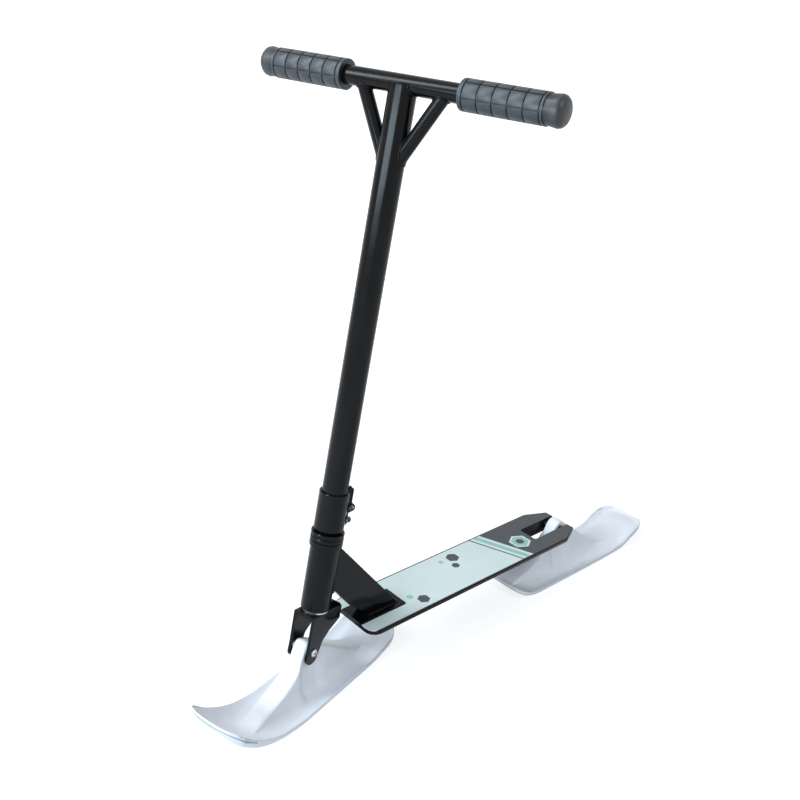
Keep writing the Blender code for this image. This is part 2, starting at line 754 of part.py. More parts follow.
def make_gusset(name, side):
    """A brace tube from the cross tube down to the downtube, coped to both."""
    top = Vector((side * GUSSET_REACH, 0, CROSS_STATION))
    foot = Vector((side * GUSSET_FOOT_OFFSET, 0, CROSS_STATION - GUSSET_DROP))
    aim = (top - foot).to_track_quat("Z", "Y").to_matrix().to_4x4()
    length = (top - foot).length
    brace = turned(name, tube_profile(GUSSET_DIAMETER / 2, GUSSET_DIAMETER / 2 - GUSSET_WALL, 0, length),
                   BLACK_PAINT, STEER_AXIS, Matrix.Translation(foot) @ aim, steps=BRACE_STEPS)
    inner = rod_mesh(name + "_foot_cope", BAR_DIAMETER / 2 + GAP, BAR_FOOT, CROSS_STATION + CUT_PAST, ROUND_STEPS)
    combine(brace, make_cutter(name + "_foot_cope", inner, STEER_AXIS))
    upper = rod_mesh(name + "_top_cope", CROSS_DIAMETER / 2 + GAP, -CROSS_HALF_LENGTH, CROSS_HALF_LENGTH, TUBE_STEPS)
    combine(brace, make_cutter(name + "_top_cope", upper, STEER_AXIS,
                               Matrix.Translation((0, 0, CROSS_STATION)) @ ALONG_X))


def grip_stations():
    """Lengthwise marks of the grip: (start, end, raised) bands from the flange to the outer shoulder."""
    bands = [(GRIP_FLANGE, True), (GRIP_GROOVE, False)]
    for k in range(GRIP_COLUMNS):
        bands += [(GRIP_COLUMN_LENGTH - GRIP_GROOVE, True), (GRIP_GROOVE, False)]
    bands += [(GRIP_RING, True), (GRIP_GROOVE, False)]
    marks = []
    here = 0.0
    for length, raised in bands:
        marks.append((here, here + length, raised))
        here += length
    return marks


def furrow_mesh(name, side, marks):
    """Lengthwise furrows that part each long band into blocks, in line from one band to the next."""
    bm = bmesh.new()
    outer = GRIP_DIAMETER / 2
    floor = outer - GRIP_GROOVE_DEPTH + GRIP_RELIEF
    middle = Matrix.Translation(((floor + outer + GRIP_GROOVE_DEPTH) / 2, 0, 0))
    size = Matrix.Diagonal((outer + GRIP_GROOVE_DEPTH - floor, GRIP_GROOVE, GRIP_COLUMN_LENGTH - GRIP_GROOVE / 2, 1))
    columns = [(start + end) / 2 for start, end, raised in marks if end - start > GRIP_COLUMN_LENGTH / 2]
    for height in columns:
        for row in range(GRIP_ROWS):
            turn = 2 * math.pi * row / GRIP_ROWS - side * GRIP_TURN
            place = Matrix.Translation((0, 0, height)) @ Matrix.Rotation(turn, 4, "Z") @ middle @ size
            bmesh.ops.create_cube(bm, size=1.0, matrix=place)
    return mesh_from(bm, name + "_furrows")


def make_grip(name, side):
    """A rubber sleeve with a flange, raised blocks in rows and a domed closed end."""
    outer = GRIP_DIAMETER / 2
    root = outer - GRIP_GROOVE_DEPTH
    bore = CROSS_DIAMETER / 2 + GAP
    floor = GRIP_LENGTH - GRIP_END_WALL
    profile = [(0, GRIP_LENGTH)]
    for k in range(1, DOME_STEPS + 1):
        angle = math.pi / 2 * k / DOME_STEPS
        radius = outer - GRIP_SHOULDER * (1 - math.sin(angle))
        profile.append((radius, GRIP_LENGTH - GRIP_DOME * (1 - math.cos(angle))))
    marks = grip_stations()
    for start, end, raised in reversed(marks):
        radius = outer if raised else root
        profile += [(radius, end), (radius, start)]
    profile += [(bore, 0), (bore, floor), (0, floor)]
    place = Matrix.Translation((side * GRIP_START, 0, CROSS_STATION)) @ Matrix.Rotation(side * math.pi / 2, 4, "Y")
    sleeve = turned(name, profile, GRIP_RUBBER, STEER_AXIS, place, steps=GRIP_STEPS, ring=False)
    combine(sleeve, make_cutter(name + "_furrows", furrow_mesh(name, side, marks), STEER_AXIS, place))
    return sleeve


def ear_outline():
    """Side view of the clamp's ears, with a round lobe at each bolt."""
    root = CLAMP_BORE / 2 + 2 * GAP
    foot = CLAMP_FOOT + EAR_FOOT
    top = CLAMP_TOP + EAR_STEP
    upper = CLAMP_TOP - CLAMP_BOLT_UPPER
    lower = upper - CLAMP_BOLT_SPACING
    return rounded([(root, foot, 0), (CLAMP_DIAMETER / 2 + EDGE_BREAK, foot, 0),
                    (LOWER_LOBE_REACH, lower - LOWER_LOBE_HALF / 2, LOWER_LOBE_ROUND),
                    (LOWER_LOBE_REACH, lower + LOWER_LOBE_HALF / 2, LOWER_LOBE_ROUND),
                    (EAR_WAIST, lower + LOWER_LOBE_HALF, 0), (EAR_WAIST, upper - UPPER_LOBE_HALF, 0),
                    (UPPER_LOBE_REACH, upper - UPPER_LOBE_HALF / 2, UPPER_LOBE_ROUND),
                    (UPPER_LOBE_REACH, upper + UPPER_LOBE_HALF / 2, UPPER_LOBE_ROUND),
                    (EAR_REACH, upper + UPPER_LOBE_HALF, 0), (EAR_REACH, top + EAR_TIP, EAR_CORNER), (root, top, 0)])


def make_clamp():
    outer = CLAMP_DIAMETER / 2
    collar = turned("clamp_collar", tube_profile(outer, CLAMP_BORE / 2, CLAMP_FOOT, CLAMP_TOP, EDGE_BREAK),
                    BLACK_PAINT, STEER_AXIS)
    turn = Matrix.Rotation(CLAMP_TURN, 4, "Z")
    ears_width = CLAMP_SLIT + 2 * EAR_THICKNESS
    ears = plate_mesh("ears", [ear_outline()], ears_width)
    combine(collar, make_cutter("ears", ears, STEER_AXIS, turn @ UPRIGHT), "UNION")
    slit = box_mesh("clamp_slit", (0, -CLAMP_SLIT / 2, CLAMP_FOOT - CUT_PAST),
                    (UPPER_LOBE_REACH + CUT_PAST, CLAMP_SLIT / 2, CLAMP_TOP + CUT_PAST))
    combine(collar, make_cutter("clamp_slit", slit, STEER_AXIS, turn))
    floor = ears_width / 2 - SPOT_DEPTH
    face = floor + GAP
    for name, reach, drop in (("upper", UPPER_BOLT_REACH, CLAMP_BOLT_UPPER),
                              ("lower", LOWER_BOLT_REACH, CLAMP_BOLT_UPPER + CLAMP_BOLT_SPACING)):
        seat = Matrix.Translation((reach, 0, CLAMP_TOP - drop))
        place = turn @ seat @ Matrix.Rotation(math.pi / 2, 4, "X")
        hole = rod_mesh("clamp_hole_" + name, CLAMP_BOLT_DIAMETER / 2 + GAP, -ears_width, ears_width)
        combine(collar, make_cutter("clamp_hole_" + name, hole, STEER_AXIS, place))
        for low, high, radius in ((floor, UPPER_LOBE_REACH, CLAMP_HEAD_DIAMETER / 2),
                                  (-UPPER_LOBE_REACH, -floor, CLAMP_NUT_FLATS / math.sqrt(3))):
            spot = rod_mesh("clamp_spot", radius + SPOT_PLAY, low, high)
            combine(collar, make_cutter("clamp_spot", spot, STEER_AXIS, place))
        foot = -face - CLAMP_NUT_HEIGHT
        make_bolt("clamp_bolt_" + name, CLAMP_BOLT_DIAMETER, CLAMP_HEAD_DIAMETER, CLAMP_HEAD_HEIGHT, face,
                  foot - BOLT_END, STEER_AXIS, place)
        make_nut("clamp_nut_" + name, CLAMP_NUT_FLATS, CLAMP_NUT_HEIGHT, CLAMP_BOLT_DIAMETER, foot, STEER_AXIS,
                 place)


def make_bolt(name, diameter, head_diameter, head_height, face, end, parent, place):
    """A bolt along Z: a domed socket head above the face and a shank down to the end."""
    radius = diameter / 2
    head = head_diameter / 2
    top = face + head_height
    profile = [(0, top), (head * HEAD_TOP_SHARE, top), (head, face + head_height * HEAD_SIDE_SHARE),
               (head, face), (radius, face), (radius, end + SHANK_EDGE), (radius - SHANK_EDGE, end), (0, end)]
    bolt = turned(name, profile, BRIGHT_STEEL, parent, place, steps=SMALL_STEPS, ring=False)
    socket = rod_mesh(name + "_socket", head * SOCKET_SHARE, face + head_height * SOCKET_FLOOR, top + CUT_PAST,
                      HEXAGON)
    return combine(bolt, make_cutter(name + "_socket", socket, parent, place))


def make_nut(name, flats, height, diameter, foot, parent, place):
    """A plain hexagon nut along Z."""
    body = rod_mesh(name, flats / math.sqrt(3), foot, foot + height, HEXAGON)
    nut = make_object(name, body, BRIGHT_STEEL, parent, place)
    bore = rod_mesh(name + "_bore", diameter / 2 + GAP, foot - CUT_PAST, foot + height + CUT_PAST)
    return combine(nut, make_cutter(name + "_bore", bore, parent, place))


def make_steering_headset():
    clear = STEERER_DIAMETER / 2 + GAP
    outer = CUP_DIAMETER / 2
    turned("headset_upper_cone", tube_profile(outer, clear, CONE_FOOT, CONE_TOP, EDGE_BREAK), BLACK_PAINT, STEER_AXIS)
    washer = tube_profile(outer - EDGE_BREAK, clear, WASHER_FOOT, WASHER_FOOT + WASHER_HEIGHT)
    turned("headset_lock_washer", washer, BLACK_PAINT, STEER_AXIS, steps=TUBE_STEPS)
    lock_nut = tube_profile(outer, clear, LOCK_NUT_FOOT, LOCK_NUT_FOOT + LOCK_NUT_HEIGHT, EDGE_BREAK)
    turned("headset_lock_nut", lock_nut, BLACK_PAINT, STEER_AXIS)
    turned("headset_crown_race", tube_profile(RACE_DIAMETER / 2, clear, RACE_FOOT, RACE_FOOT + RACE_HEIGHT),
           BRIGHT_STEEL, STEER_AXIS, steps=TUBE_STEPS)
    turned("fork_steerer", tube_profile(STEERER_DIAMETER / 2, STEERER_DIAMETER / 2 - STEERER_WALL,
                                        CROWN_TOP - CROWN_PLATE, STEERER_TOP), BLACK_PAINT, STEER_AXIS,
           steps=TUBE_STEPS)


def leg_outline():
    """Side view of the fork bracket, as (distance behind the axis, station)."""
    centre_y = -AXLE_LEAD
    centre_s = AXLE_STATION - LEG_FOOT_DROP
    points = [(-LEG_FRONT, CROWN_TOP), (-LEG_FRONT, centre_s + LEG_FRONT_END)]
    for k in range(LEG_STEPS + 1):
        angle = math.pi + LEG_FOOT_TURN * k / LEG_STEPS
        points.append((centre_y + LEG_FOOT_RADIUS * math.cos(angle), centre_s + LEG_FOOT_RADIUS * math.sin(angle)))
    points += [(LEG_REAR, AXLE_STATION + LEG_REAR_END), (LEG_KNEE, CROWN_TOP - LEG_KNEE_DROP),
               (CROWN_REAR, CROWN_TOP - CROWN_REAR_DEPTH), (CROWN_REAR, CROWN_TOP)]
    return points


def make_fork_bracket():
    """One bent plate: side plates under a crown plate, hollowed from below."""
    block = plate_mesh("fork_bracket", [leg_outline()], FORK_WIDTH)
    bracket = make_object("fork_bracket", block, BLACK_PAINT, STEER_AXIS, ON_EDGE)
    fold = bracket.modifiers.new("fold", "BEVEL")
    fold.width = FORK_FOLD
    fold.segments = BEVEL_STEPS
    fold.limit_method = "WEIGHT"
    weigh_edges(block, fold_weight)
    foot = AXLE_STATION - LEG_FOOT_DROP - LEG_FOOT_RADIUS
    inside = box_mesh("fork_inside", (-LEG_INNER, -AXLE_LEAD - LEG_FRONT, foot - CUT_PAST),
                      (LEG_INNER, CROWN_REAR + CUT_PAST, CROWN_TOP - CROWN_PLATE))
    combine(bracket, make_cutter("fork_inside", inside, STEER_AXIS))
    hole = rod_mesh("steerer_hole", STEERER_DIAMETER / 2 + GAP, CROWN_TOP - CROWN_PLATE - CUT_PAST,
                    CROWN_TOP + CUT_PAST, TUBE_STEPS)
    combine(bracket, make_cutter("steerer_hole", hole, STEER_AXIS))
    axle = rod_mesh("front_axle_hole", AXLE_DIAMETER / 2 + GAP, -FORK_WIDTH, FORK_WIDTH)
    combine(bracket, make_cutter("front_axle_hole", axle, FRONT_PIVOT, ALONG_X))


def fold_weight(a, b):
    """Only the two long top edges of the bracket are folds."""
    along = abs(a.z - b.z) < SAME and abs(a.y - CROWN_TOP) < SAME and abs(b.y - CROWN_TOP) < SAME
    return 1.0 if along else 0.0


def make_front_axle():
    face = FORK_WIDTH / 2 + GAP
    place = ALONG_X
    make_bolt("front_axle_bolt", AXLE_DIAMETER, AXLE_HEAD_DIAMETER, AXLE_HEAD_HEIGHT, face,
              -face - AXLE_NUT_HEIGHT - BOLT_END, FRONT_PIVOT, place)
    make_nut("front_axle_nut", AXLE_NUT_FLATS, AXLE_NUT_HEIGHT, AXLE_DIAMETER, -face - AXLE_NUT_HEIGHT,
             FRONT_PIVOT, place)
    inner = HUMP_HALF + SIDE_PLAY
    outer = LEG_INNER - GAP
    bore = AXLE_DIAMETER / 2 + GAP
    for name, low, high in (("left", inner, outer), ("right", -outer, -inner)):
        turned("front_washer_" + name, tube_profile(SPACER_DIAMETER / 2, bore, low, high), BRIGHT_STEEL,
               FRONT_PIVOT, place, steps=SMALL_STEPS)


def make_head_tube():
    outer = HEAD_DIAMETER / 2
    turned("head_tube", tube_profile(outer, HEAD_BORE / 2, HEAD_BOTTOM, HEAD_TOP), BLACK_PAINT, FRAME_AXIS)
    clear = STEERER_DIAMETER / 2 + 2 * GAP
    seat = BEARING_DIAMETER / 2 + GAP
    skirt = HEAD_BORE / 2 - GAP
    flange_foot = HEAD_TOP + GAP
    seat_floor = UPPER_CUP_TOP - BEARING_HEIGHT - GAP
    cup = [(CUP_DIAMETER / 2, UPPER_CUP_TOP), (CUP_DIAMETER / 2, flange_foot + EDGE_BREAK),
           (CUP_DIAMETER / 2 - EDGE_BREAK, flange_foot), (skirt, flange_foot), (skirt, HEAD_TOP - CUP_SKIRT),
           (skirt - CUP_SKIRT_WALL, HEAD_TOP - CUP_SKIRT), (skirt - CUP_SKIRT_WALL, seat_floor), (seat, seat_floor),
           (seat, UPPER_CUP_TOP)]
    turned("headset_upper_cup", cup, BLACK_PAINT, FRAME_AXIS)
    turned("headset_upper_bearing", tube_profile(BEARING_DIAMETER / 2, clear, seat_floor + GAP, UPPER_CUP_TOP),
           BRIGHT_STEEL, FRAME_AXIS, steps=TUBE_STEPS)
    lower_seat = LOWER_BEARING_DIAMETER / 2
    roof = LOWER_CUP_FOOT + LOWER_BEARING_HEIGHT + GAP
    lower = [(outer, HEAD_BOTTOM - GAP), (outer, LOWER_CUP_FOOT + EDGE_BREAK), (outer - EDGE_BREAK, LOWER_CUP_FOOT),
             (lower_seat + GAP, LOWER_CUP_FOOT), (lower_seat + GAP, roof), (skirt - CUP_SKIRT_WALL, roof),
             (skirt - CUP_SKIRT_WALL, HEAD_BOTTOM + CUP_SKIRT), (skirt, HEAD_BOTTOM + CUP_SKIRT),
             (skirt, HEAD_BOTTOM - GAP)]
    turned("headset_lower_cup", lower, BLACK_PAINT, FRAME_AXIS)
    turned("headset_lower_bearing", tube_profile(lower_seat, clear, LOWER_CUP_FOOT, roof - GAP), BRIGHT_STEEL,
           FRAME_AXIS, steps=TUBE_STEPS)


def from_axis(offset, station):
    """(distance back, height) of a place beside the steering axis, in the frame's own side view."""
    return (offset * math.cos(RAKE) + station * math.sin(RAKE), station * math.cos(RAKE) - offset * math.sin(RAKE))


def neck_outline(inset):
    """Side view of the neck. The inset one is the hollow, which runs out at both ends."""
    top = Vector(from_axis(NECK_ROOT, NECK_TOP_STATION))
    toe = Vector((NECK_TOP_BACK, FLANGE_TOP + GAP))
    heel = Vector((NECK_BOTTOM_BACK, FLANGE_TOP + GAP))
    knee = Vector(from_axis(NECK_KNEE_OFFSET, NECK_KNEE_STATION))
    throat = Vector(from_axis(HEAD_DIAMETER / 2, NECK_BOTTOM_STATION))
    bottom = Vector(from_axis(NECK_ROOT, NECK_BOTTOM_STATION + NECK_RUN_OUT))
    if not inset:
        return [(p.x, p.y) for p in (top, toe, heel, knee, throat, bottom)]
    past = Vector((0, -NECK_RUN_OUT - inset))
    down = Vector((-inset, -inset))
    up = Vector((inset, inset))
    along = Vector((inset, 0))
    return [(p.x, p.y) for p in (top + down, toe - along + past, heel + along + past, knee + up, throat + up,
                                 bottom + up)]


def neck_weight(a, b):
    """The two upper edges take the whole bevel and the other long edges a small one."""
    if abs(a.z - b.z) > SAME:
        return 0.0
    top, toe = (Vector((*corner, a.z)) for corner in neck_outline(0)[:2])
    upper = min((a - top).length, (b - top).length) < SAME and min((a - toe).length, (b - toe).length) < SAME
    return 1.0 if upper else NECK_EDGE / NECK_BEVEL


def make_neck():
    edge = Matrix.Translation((0, FOOT_Y, 0)) @ ON_EDGE
    mesh = plate_mesh("neck_box", [neck_outline(0)], NECK_WIDTH)
    neck = make_object("neck_box", mesh, BLACK_PAINT, None, edge)
    corner = neck.modifiers.new("corners", "BEVEL")
    corner.width = NECK_BEVEL
    corner.segments = BEVEL_STEPS
    corner.limit_method = "WEIGHT"
    weigh_edges(mesh, neck_weight)
    hollow = plate_mesh("neck_hollow", [neck_outline(NECK_WALL)], NECK_WIDTH - 2 * NECK_WALL)
    combine(neck, make_cutter("neck_hollow", hollow, None, edge))
    tube = rod_mesh("neck_cope", HEAD_DIAMETER / 2 + GAP, HEAD_BOTTOM - CUT_PAST, HEAD_TOP + CUT_PAST, ROUND_STEPS)
    combine(neck, make_cutter("neck_cope", tube, FRAME_AXIS))
    flange = box_mesh("neck_flange", (-FLANGE_WIDTH / 2, DECK_FRONT + FOOT_Y, FLANGE_FOOT),
                      (FLANGE_WIDTH / 2, DECK_FRONT + FLANGE_LENGTH + FOOT_Y, FLANGE_TOP))
    make_object("neck_flange", flange, BLACK_PAINT)


def deck_outline(inset, slot_grow=0.0):
    """Plan of the deck, as (x, distance back), with the slot open at the rear."""
    half = DECK_WIDTH / 2 - inset
    front = DECK_FRONT + inset
    end = DECK_END - inset
    slot = SLOT_WIDTH / 2 + slot_grow
    corner = DECK_CORNER - inset
    return rounded([(-half, front, corner), (half, front, corner), (half, DECK_SHOULDER, 0),
                    (DECK_END_WIDTH / 2, end, DECK_END_CORNER), (slot, end, 0),
                    (slot, SLOT_FRONT - slot_grow, SLOT_CORNER), (-slot, SLOT_FRONT - slot_grow, SLOT_CORNER),
                    (-slot, end, 0), (-DECK_END_WIDTH / 2, end, DECK_END_CORNER), (-half, DECK_SHOULDER, 0)])


def make_deck():
    plate = plate_mesh("deck_plate", [deck_outline(0)], DECK_PLATE)
    make_object("deck_plate", plate, BLACK_PAINT, None,
                Matrix.Translation((0, FOOT_Y, DECK_TOP - DECK_PLATE / 2)))
    sheet_mesh = plate_mesh("deck_sheet", [deck_outline(SHEET_INSET, SHEET_SLOT_INSET)], SHEET_THICKNESS)
    sheet = make_object("deck_sheet", sheet_mesh, SHEET_PRINT, None,
                        Matrix.Translation((0, FOOT_Y, DECK_TOP + GAP + SHEET_THICKNESS / 2)))
    half = FLANGE_WIDTH / 2 + 2 * GAP
    front = FOOT_Y + DECK_FRONT
    notch = box_mesh("flange_notch", (-half, front - CUT_PAST, DECK_TOP - CUT_PAST),
                     (half, front + FLANGE_LENGTH + 2 * GAP, DECK_TOP + CUT_PAST))
    combine(sheet, make_cutter("flange_notch", notch))


def rail_outline():
    """Side view of a deck rail, rounded about the rear axle at its end."""
    foot = RAIL_TOP - RAIL_DEPTH
    points = [(RAIL_FRONT, RAIL_TOP), (RAIL_FRONT, RAIL_TOP - RAIL_TOE), (RAIL_FRONT + RAIL_TOE_RUN, foot),
              (REAR_AXLE_BACK, foot)]
    for k in range(1, ARC_STEPS + 1):
        angle = -math.pi / 2 + math.pi / 2 * k / ARC_STEPS
        points.append((REAR_AXLE_BACK + RAIL_END_RADIUS * math.cos(angle),
                       foot + RAIL_END_RADIUS + RAIL_END_RADIUS * math.sin(angle)))
    points.append((REAR_AXLE_BACK + RAIL_END_RADIUS, RAIL_TOP))
    return points


def make_rails():
    hole = circle(REAR_AXLE_BACK, REAR_AXLE_HEIGHT, AXLE_DIAMETER / 2 + GAP)
    for name, side in (("left", 1), ("right", -1)):
        mesh = plate_mesh("deck_rail_" + name, [rail_outline(), hole], RAIL_THICKNESS)
        shift = side * (RAIL_INNER + RAIL_THICKNESS / 2)
        make_object("deck_rail_" + name, mesh, BLACK_PAINT, None, Matrix.Translation((shift, FOOT_Y, 0)) @ ON_EDGE)


def make_rear_axle():
    face = RAIL_INNER + RAIL_THICKNESS + GAP
    make_bolt("rear_axle_bolt", AXLE_DIAMETER, AXLE_HEAD_DIAMETER, AXLE_HEAD_HEIGHT, face,
              -face - AXLE_NUT_HEIGHT - BOLT_END, REAR_PIVOT, ALONG_X)
    make_nut("rear_axle_nut", AXLE_NUT_FLATS, AXLE_NUT_HEIGHT, AXLE_DIAMETER, -face - AXLE_NUT_HEIGHT,
             REAR_PIVOT, ALONG_X)
    inner = HUMP_HALF + SIDE_PLAY
    outer = RAIL_INNER - GAP
    bore = AXLE_DIAMETER / 2 + GAP
    for name, low, high in (("left", inner, outer), ("right", -outer, -inner)):
        turned("rear_spacer_" + name, tube_profile(REAR_SPACER_DIAMETER / 2, bore, low, high), BRIGHT_STEEL,
               REAR_PIVOT, ALONG_X, steps=SMALL_STEPS)


def make_ski(name, shape, parent, matrix):
    """The moulding, the boss that joins its hump's walls and the bush that turns on the axle."""
    ski = make_object(name, ski_mesh(name, shape), WHITE_PLASTIC, parent, matrix)
    half = HUMP_HALF - SKI_WALL / 2
    boss = rod_mesh(name + "_boss", BOSS_DIAMETER / 2, -half, half, BRACE_STEPS)
    combine(ski, make_cutter(name + "_boss", boss, parent, matrix @ ALONG_X), "UNION")
    bore = rod_mesh(name + "_bore", BUSH_DIAMETER / 2 + GAP, -SKI_HALF, SKI_HALF)
    combine(ski, make_cutter(name + "_bore", bore, parent, matrix @ ALONG_X))
    turned(name + "_bush", tube_profile(BUSH_DIAMETER / 2, AXLE_DIAMETER / 2 + GAP, -HUMP_HALF, HUMP_HALF),
           BUSH_PLASTIC, parent, matrix @ ALONG_X, steps=SMALL_STEPS)


def make_skis():
    make_ski("front_ski", FRONT_SHAPE, FRONT_PIVOT, SKI_PITCH)
    make_ski("rear_ski", REAR_SHAPE, REAR_PIVOT, Matrix.Rotation(math.pi, 4, "Z"))


make_bar()
make_gusset("bar_gusset_left", 1)
make_gusset("bar_gusset_right", -1)
make_grip("grip_left", 1)
make_grip("grip_right", -1)
make_clamp()
make_steering_headset()
make_fork_bracket()
make_front_axle()
make_head_tube()
make_neck()
make_deck()
make_rails()
make_rear_axle()
make_skis()
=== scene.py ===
"""Looks of the snow scooter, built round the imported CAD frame."""
import json
import math

import bmesh
import bpy
from bpy.props import FloatProperty, FloatVectorProperty, PointerProperty
from mathutils import Matrix, Vector
from mathutils.geometry import convex_hull_2d, intersect_point_line
from mathutils.kdtree import KDTree


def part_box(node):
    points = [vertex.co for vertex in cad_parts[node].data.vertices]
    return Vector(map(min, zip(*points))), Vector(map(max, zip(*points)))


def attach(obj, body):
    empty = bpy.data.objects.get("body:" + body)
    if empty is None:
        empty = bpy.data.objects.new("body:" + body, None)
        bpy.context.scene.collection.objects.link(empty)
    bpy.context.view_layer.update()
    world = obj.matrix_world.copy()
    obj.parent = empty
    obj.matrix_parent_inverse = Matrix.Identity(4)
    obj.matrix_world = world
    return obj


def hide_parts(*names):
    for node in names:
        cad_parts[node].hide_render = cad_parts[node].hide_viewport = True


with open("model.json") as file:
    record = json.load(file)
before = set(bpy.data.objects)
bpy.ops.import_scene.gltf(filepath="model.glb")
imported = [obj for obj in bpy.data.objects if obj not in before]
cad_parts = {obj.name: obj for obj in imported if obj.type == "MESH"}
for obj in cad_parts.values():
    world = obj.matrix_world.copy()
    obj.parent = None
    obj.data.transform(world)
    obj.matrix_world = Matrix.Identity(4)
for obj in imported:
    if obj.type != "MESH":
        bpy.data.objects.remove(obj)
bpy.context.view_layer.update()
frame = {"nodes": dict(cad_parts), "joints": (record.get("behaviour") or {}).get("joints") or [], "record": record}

bl_info = {
    "name": "Snow Scooter",
    "version": (1, 0, 0),
    "blender": (4, 5, 0),
    "location": "3D View > Sidebar > Scooter",
    "description": "Builds the finishes and the fine pieces of a snow scooter on its CAD frame",
    "category": "Object",
}

NODES = frame["nodes"]
JOINTS = {joint["name"]: joint for joint in frame["joints"]}
REAR_AXLE = Vector(JOINTS["rear_ski_rock"]["pos_m"])
SLOT_OF = {part["node"]: part["material_slot"] for part in frame["record"]["subparts"]}
BODY_OF = {node: body for body, nodes in frame["record"]["behaviour"]["bodies"].items() for node in nodes}
MERGE = 0.00001
SHARP_ANGLE = math.radians(32)

# The steering axis, the rider's left and the way ahead of the turned bar. BAR_FOOT is where the axis meets z 0.
UPRIGHT = Vector(JOINTS["steering"]["axis"]).normalized()
LEFT = Vector(JOINTS["front_ski_rock"]["axis"]).normalized()
AHEAD = LEFT.cross(UPRIGHT)
STEER_POINT = Vector(JOINTS["steering"]["pos_m"])
BAR_FOOT = STEER_POINT - UPRIGHT * (STEER_POINT.z / UPRIGHT.z)
# Radii of the bar's tubes and grips, and stations along the steering axis from BAR_FOOT, in metres.
BAR_RADIUS = 0.0159
CROSS_RADIUS = 0.0105
CROSS_STATION = 0.7595
BRACE_RADIUS = 0.0078
BRACE_TOP = 0.0553
BRACE_FOOT = 0.0105
BRACE_FOOT_STATION = 0.6815
BAR_MIDDLE = BAR_FOOT + CROSS_STATION * UPRIGHT
GRIP_RADIUS = 0.0168


def linear(code):
    """An sRGB hex colour as linear red, green and blue."""
    parts = [int(code[i:i + 2], 16) / 255 for i in (0, 2, 4)]
    return tuple(c / 12.92 if c <= 0.04045 else ((c + 0.055) / 1.055) ** 2.4 for c in parts)


def colour(name, code, description):
    """A colour property, whose default is an sRGB hex value."""
    return FloatVectorProperty(name=name, description=description, subtype="COLOR", size=3, min=0, max=1,
                               default=linear(code))


def length(name, default, description):
    """A length property, in metres."""
    return FloatProperty(name=name, description=description, default=default, min=0, unit="LENGTH", precision=5)


class ScooterFinishes(bpy.types.PropertyGroup):
    """Colours of the finishes."""
    paint: colour("Paint", "090A0B", "Black powder coat of the metal parts")
    rubber: colour("Rubber", "293136", "Moulded rubber of the grips")
    ski: colour("Ski", "E4E7EC", "White polyethylene of the skis")
    # The ski edge grey is painted shade along the outlines of the skis.
    ski_edge_shade: colour("Ski edge", "5E646B", "Grey of the scuffed outer edges of the skis")
    sheet: colour("Deck sheet", "D0DEDB", "Pale ground of the printed deck sheet")
    print_dark: colour("Print, dark", "3F4346", "Dark grey of the deck print")
    print_accent: colour("Print, accent", "8FBDAC", "Green accent of the deck print")
    steel: colour("Steel", "B7BABF", "Zinc-plated fasteners")
    oxide: colour("Black steel", "43464A", "Black-oxide bolts of the clamp")
    floor: colour("Floor", "B4B7BA", "Studio floor")


class ScooterSizes(bpy.types.PropertyGroup):
    """Sizes of the fine pieces, and of the texture of the finishes."""
    grip_round: length("Grip rounding", 0.0005, "Width of the rounding on the edges of the grips' blocks")
    peel: length("Orange peel", 0.0016, "Spacing of the powder coat's ripple")
    grain: length("Rubber grain", 0.0007, "Spacing of the rubber's grain")
    mottle: length("Ski mottle", 0.030, "Size of the soft patches on the skis")
    scuff: length("Scuffs", 0.004, "Spacing of the fine scuffs on the skis")
    bead: length("Weld bead", 0.0015, "Radius of the weld beads")
    ripple: length("Weld ripple", 0.0024, "Spacing of the ripples along a weld bead")


def add(tree, kind, inputs=None, out=None, **settings):
    """Adds a node with its settings and links. inputs maps a socket's name or number to a value, or to the output
    that feeds it. The result is the node, or the output that out names."""
    made = tree.nodes.new(kind)
    for name, value in settings.items():
        setattr(made, name, value)
    for socket, value in (inputs or {}).items():
        target = made.inputs[socket]
        if isinstance(value, bpy.types.NodeSocket):
            tree.links.new(value, target)
        else:
            target.default_value = (*value[:3], 1) if target.type == "RGBA" else value
    return made if out is None else made.outputs[out]


def blank(name):
    """A new material without nodes."""
    made = bpy.data.materials.new(name)
    made.use_nodes = True
    made.node_tree.nodes.clear()
    return made, made.node_tree


def close(tree, inputs):
    """Ends a material in its shader and its output."""
    shader = add(tree, "ShaderNodeBsdfPrincipled", inputs, "BSDF")
    add(tree, "ShaderNodeOutputMaterial", {"Surface": shader})


def tint(value, factor):
    """A colour made darker or paler by a factor."""
    return tuple(min(1.0, c * factor) for c in value)


# The sockets of a Mix node for its two colours, and its settings and output.
FIRST = 6
SECOND = 7
COLOURS = {"data_type": "RGBA", "out": 2}
# The middle range, where most of a noise's values lie.
MIDDLE = {"From Min": 0.3, "From Max": 0.7}
# Spacing of the soft patches and fine grains that no size above sets, in metres. The grain of the steel, the acetal
# and the sheet is finer on the real ones, and is drawn this coarse so that it shows.
PAINT_CLOUD = 0.025
RUBBED_PATCH = 0.02
STEEL_GRAIN = 0.0012
OXIDE_PATCH = 0.003
ACETAL_GRAIN = 0.001
SHEET_CLOUD = 0.05
SHEET_GRAIN = 0.0008
FLOOR_CLOUD = 0.3
# Depth of the finest relief and of the skis' scuffs, in metres. The scuffs are drawn out along the ski.
FINE_RELIEF = 0.0002
SCUFF_RELIEF = 0.0003
SCUFF_STRETCH = 6
# How far under the grip's surface the painted shade in a furrow is darkest, and where it ends.
FURROW_SHADE_FLOOR = 0.0011
FURROW_SHADE_EDGE = 0.0003
# How strongly painted shade greys the outer edges of a ski, by the attribute that holds the distance from them.
EDGE_SHADE_SHARES = {"sole_edge": 0.7, "top_edge": 0.4}
EDGE_LINE = 0.0008
EDGE_FADE = 0.0014
# The two sRGB tones of the bushes, which hardly show.
ACETAL_PALE = "26282B"
ACETAL_DARK = "1C1E20"

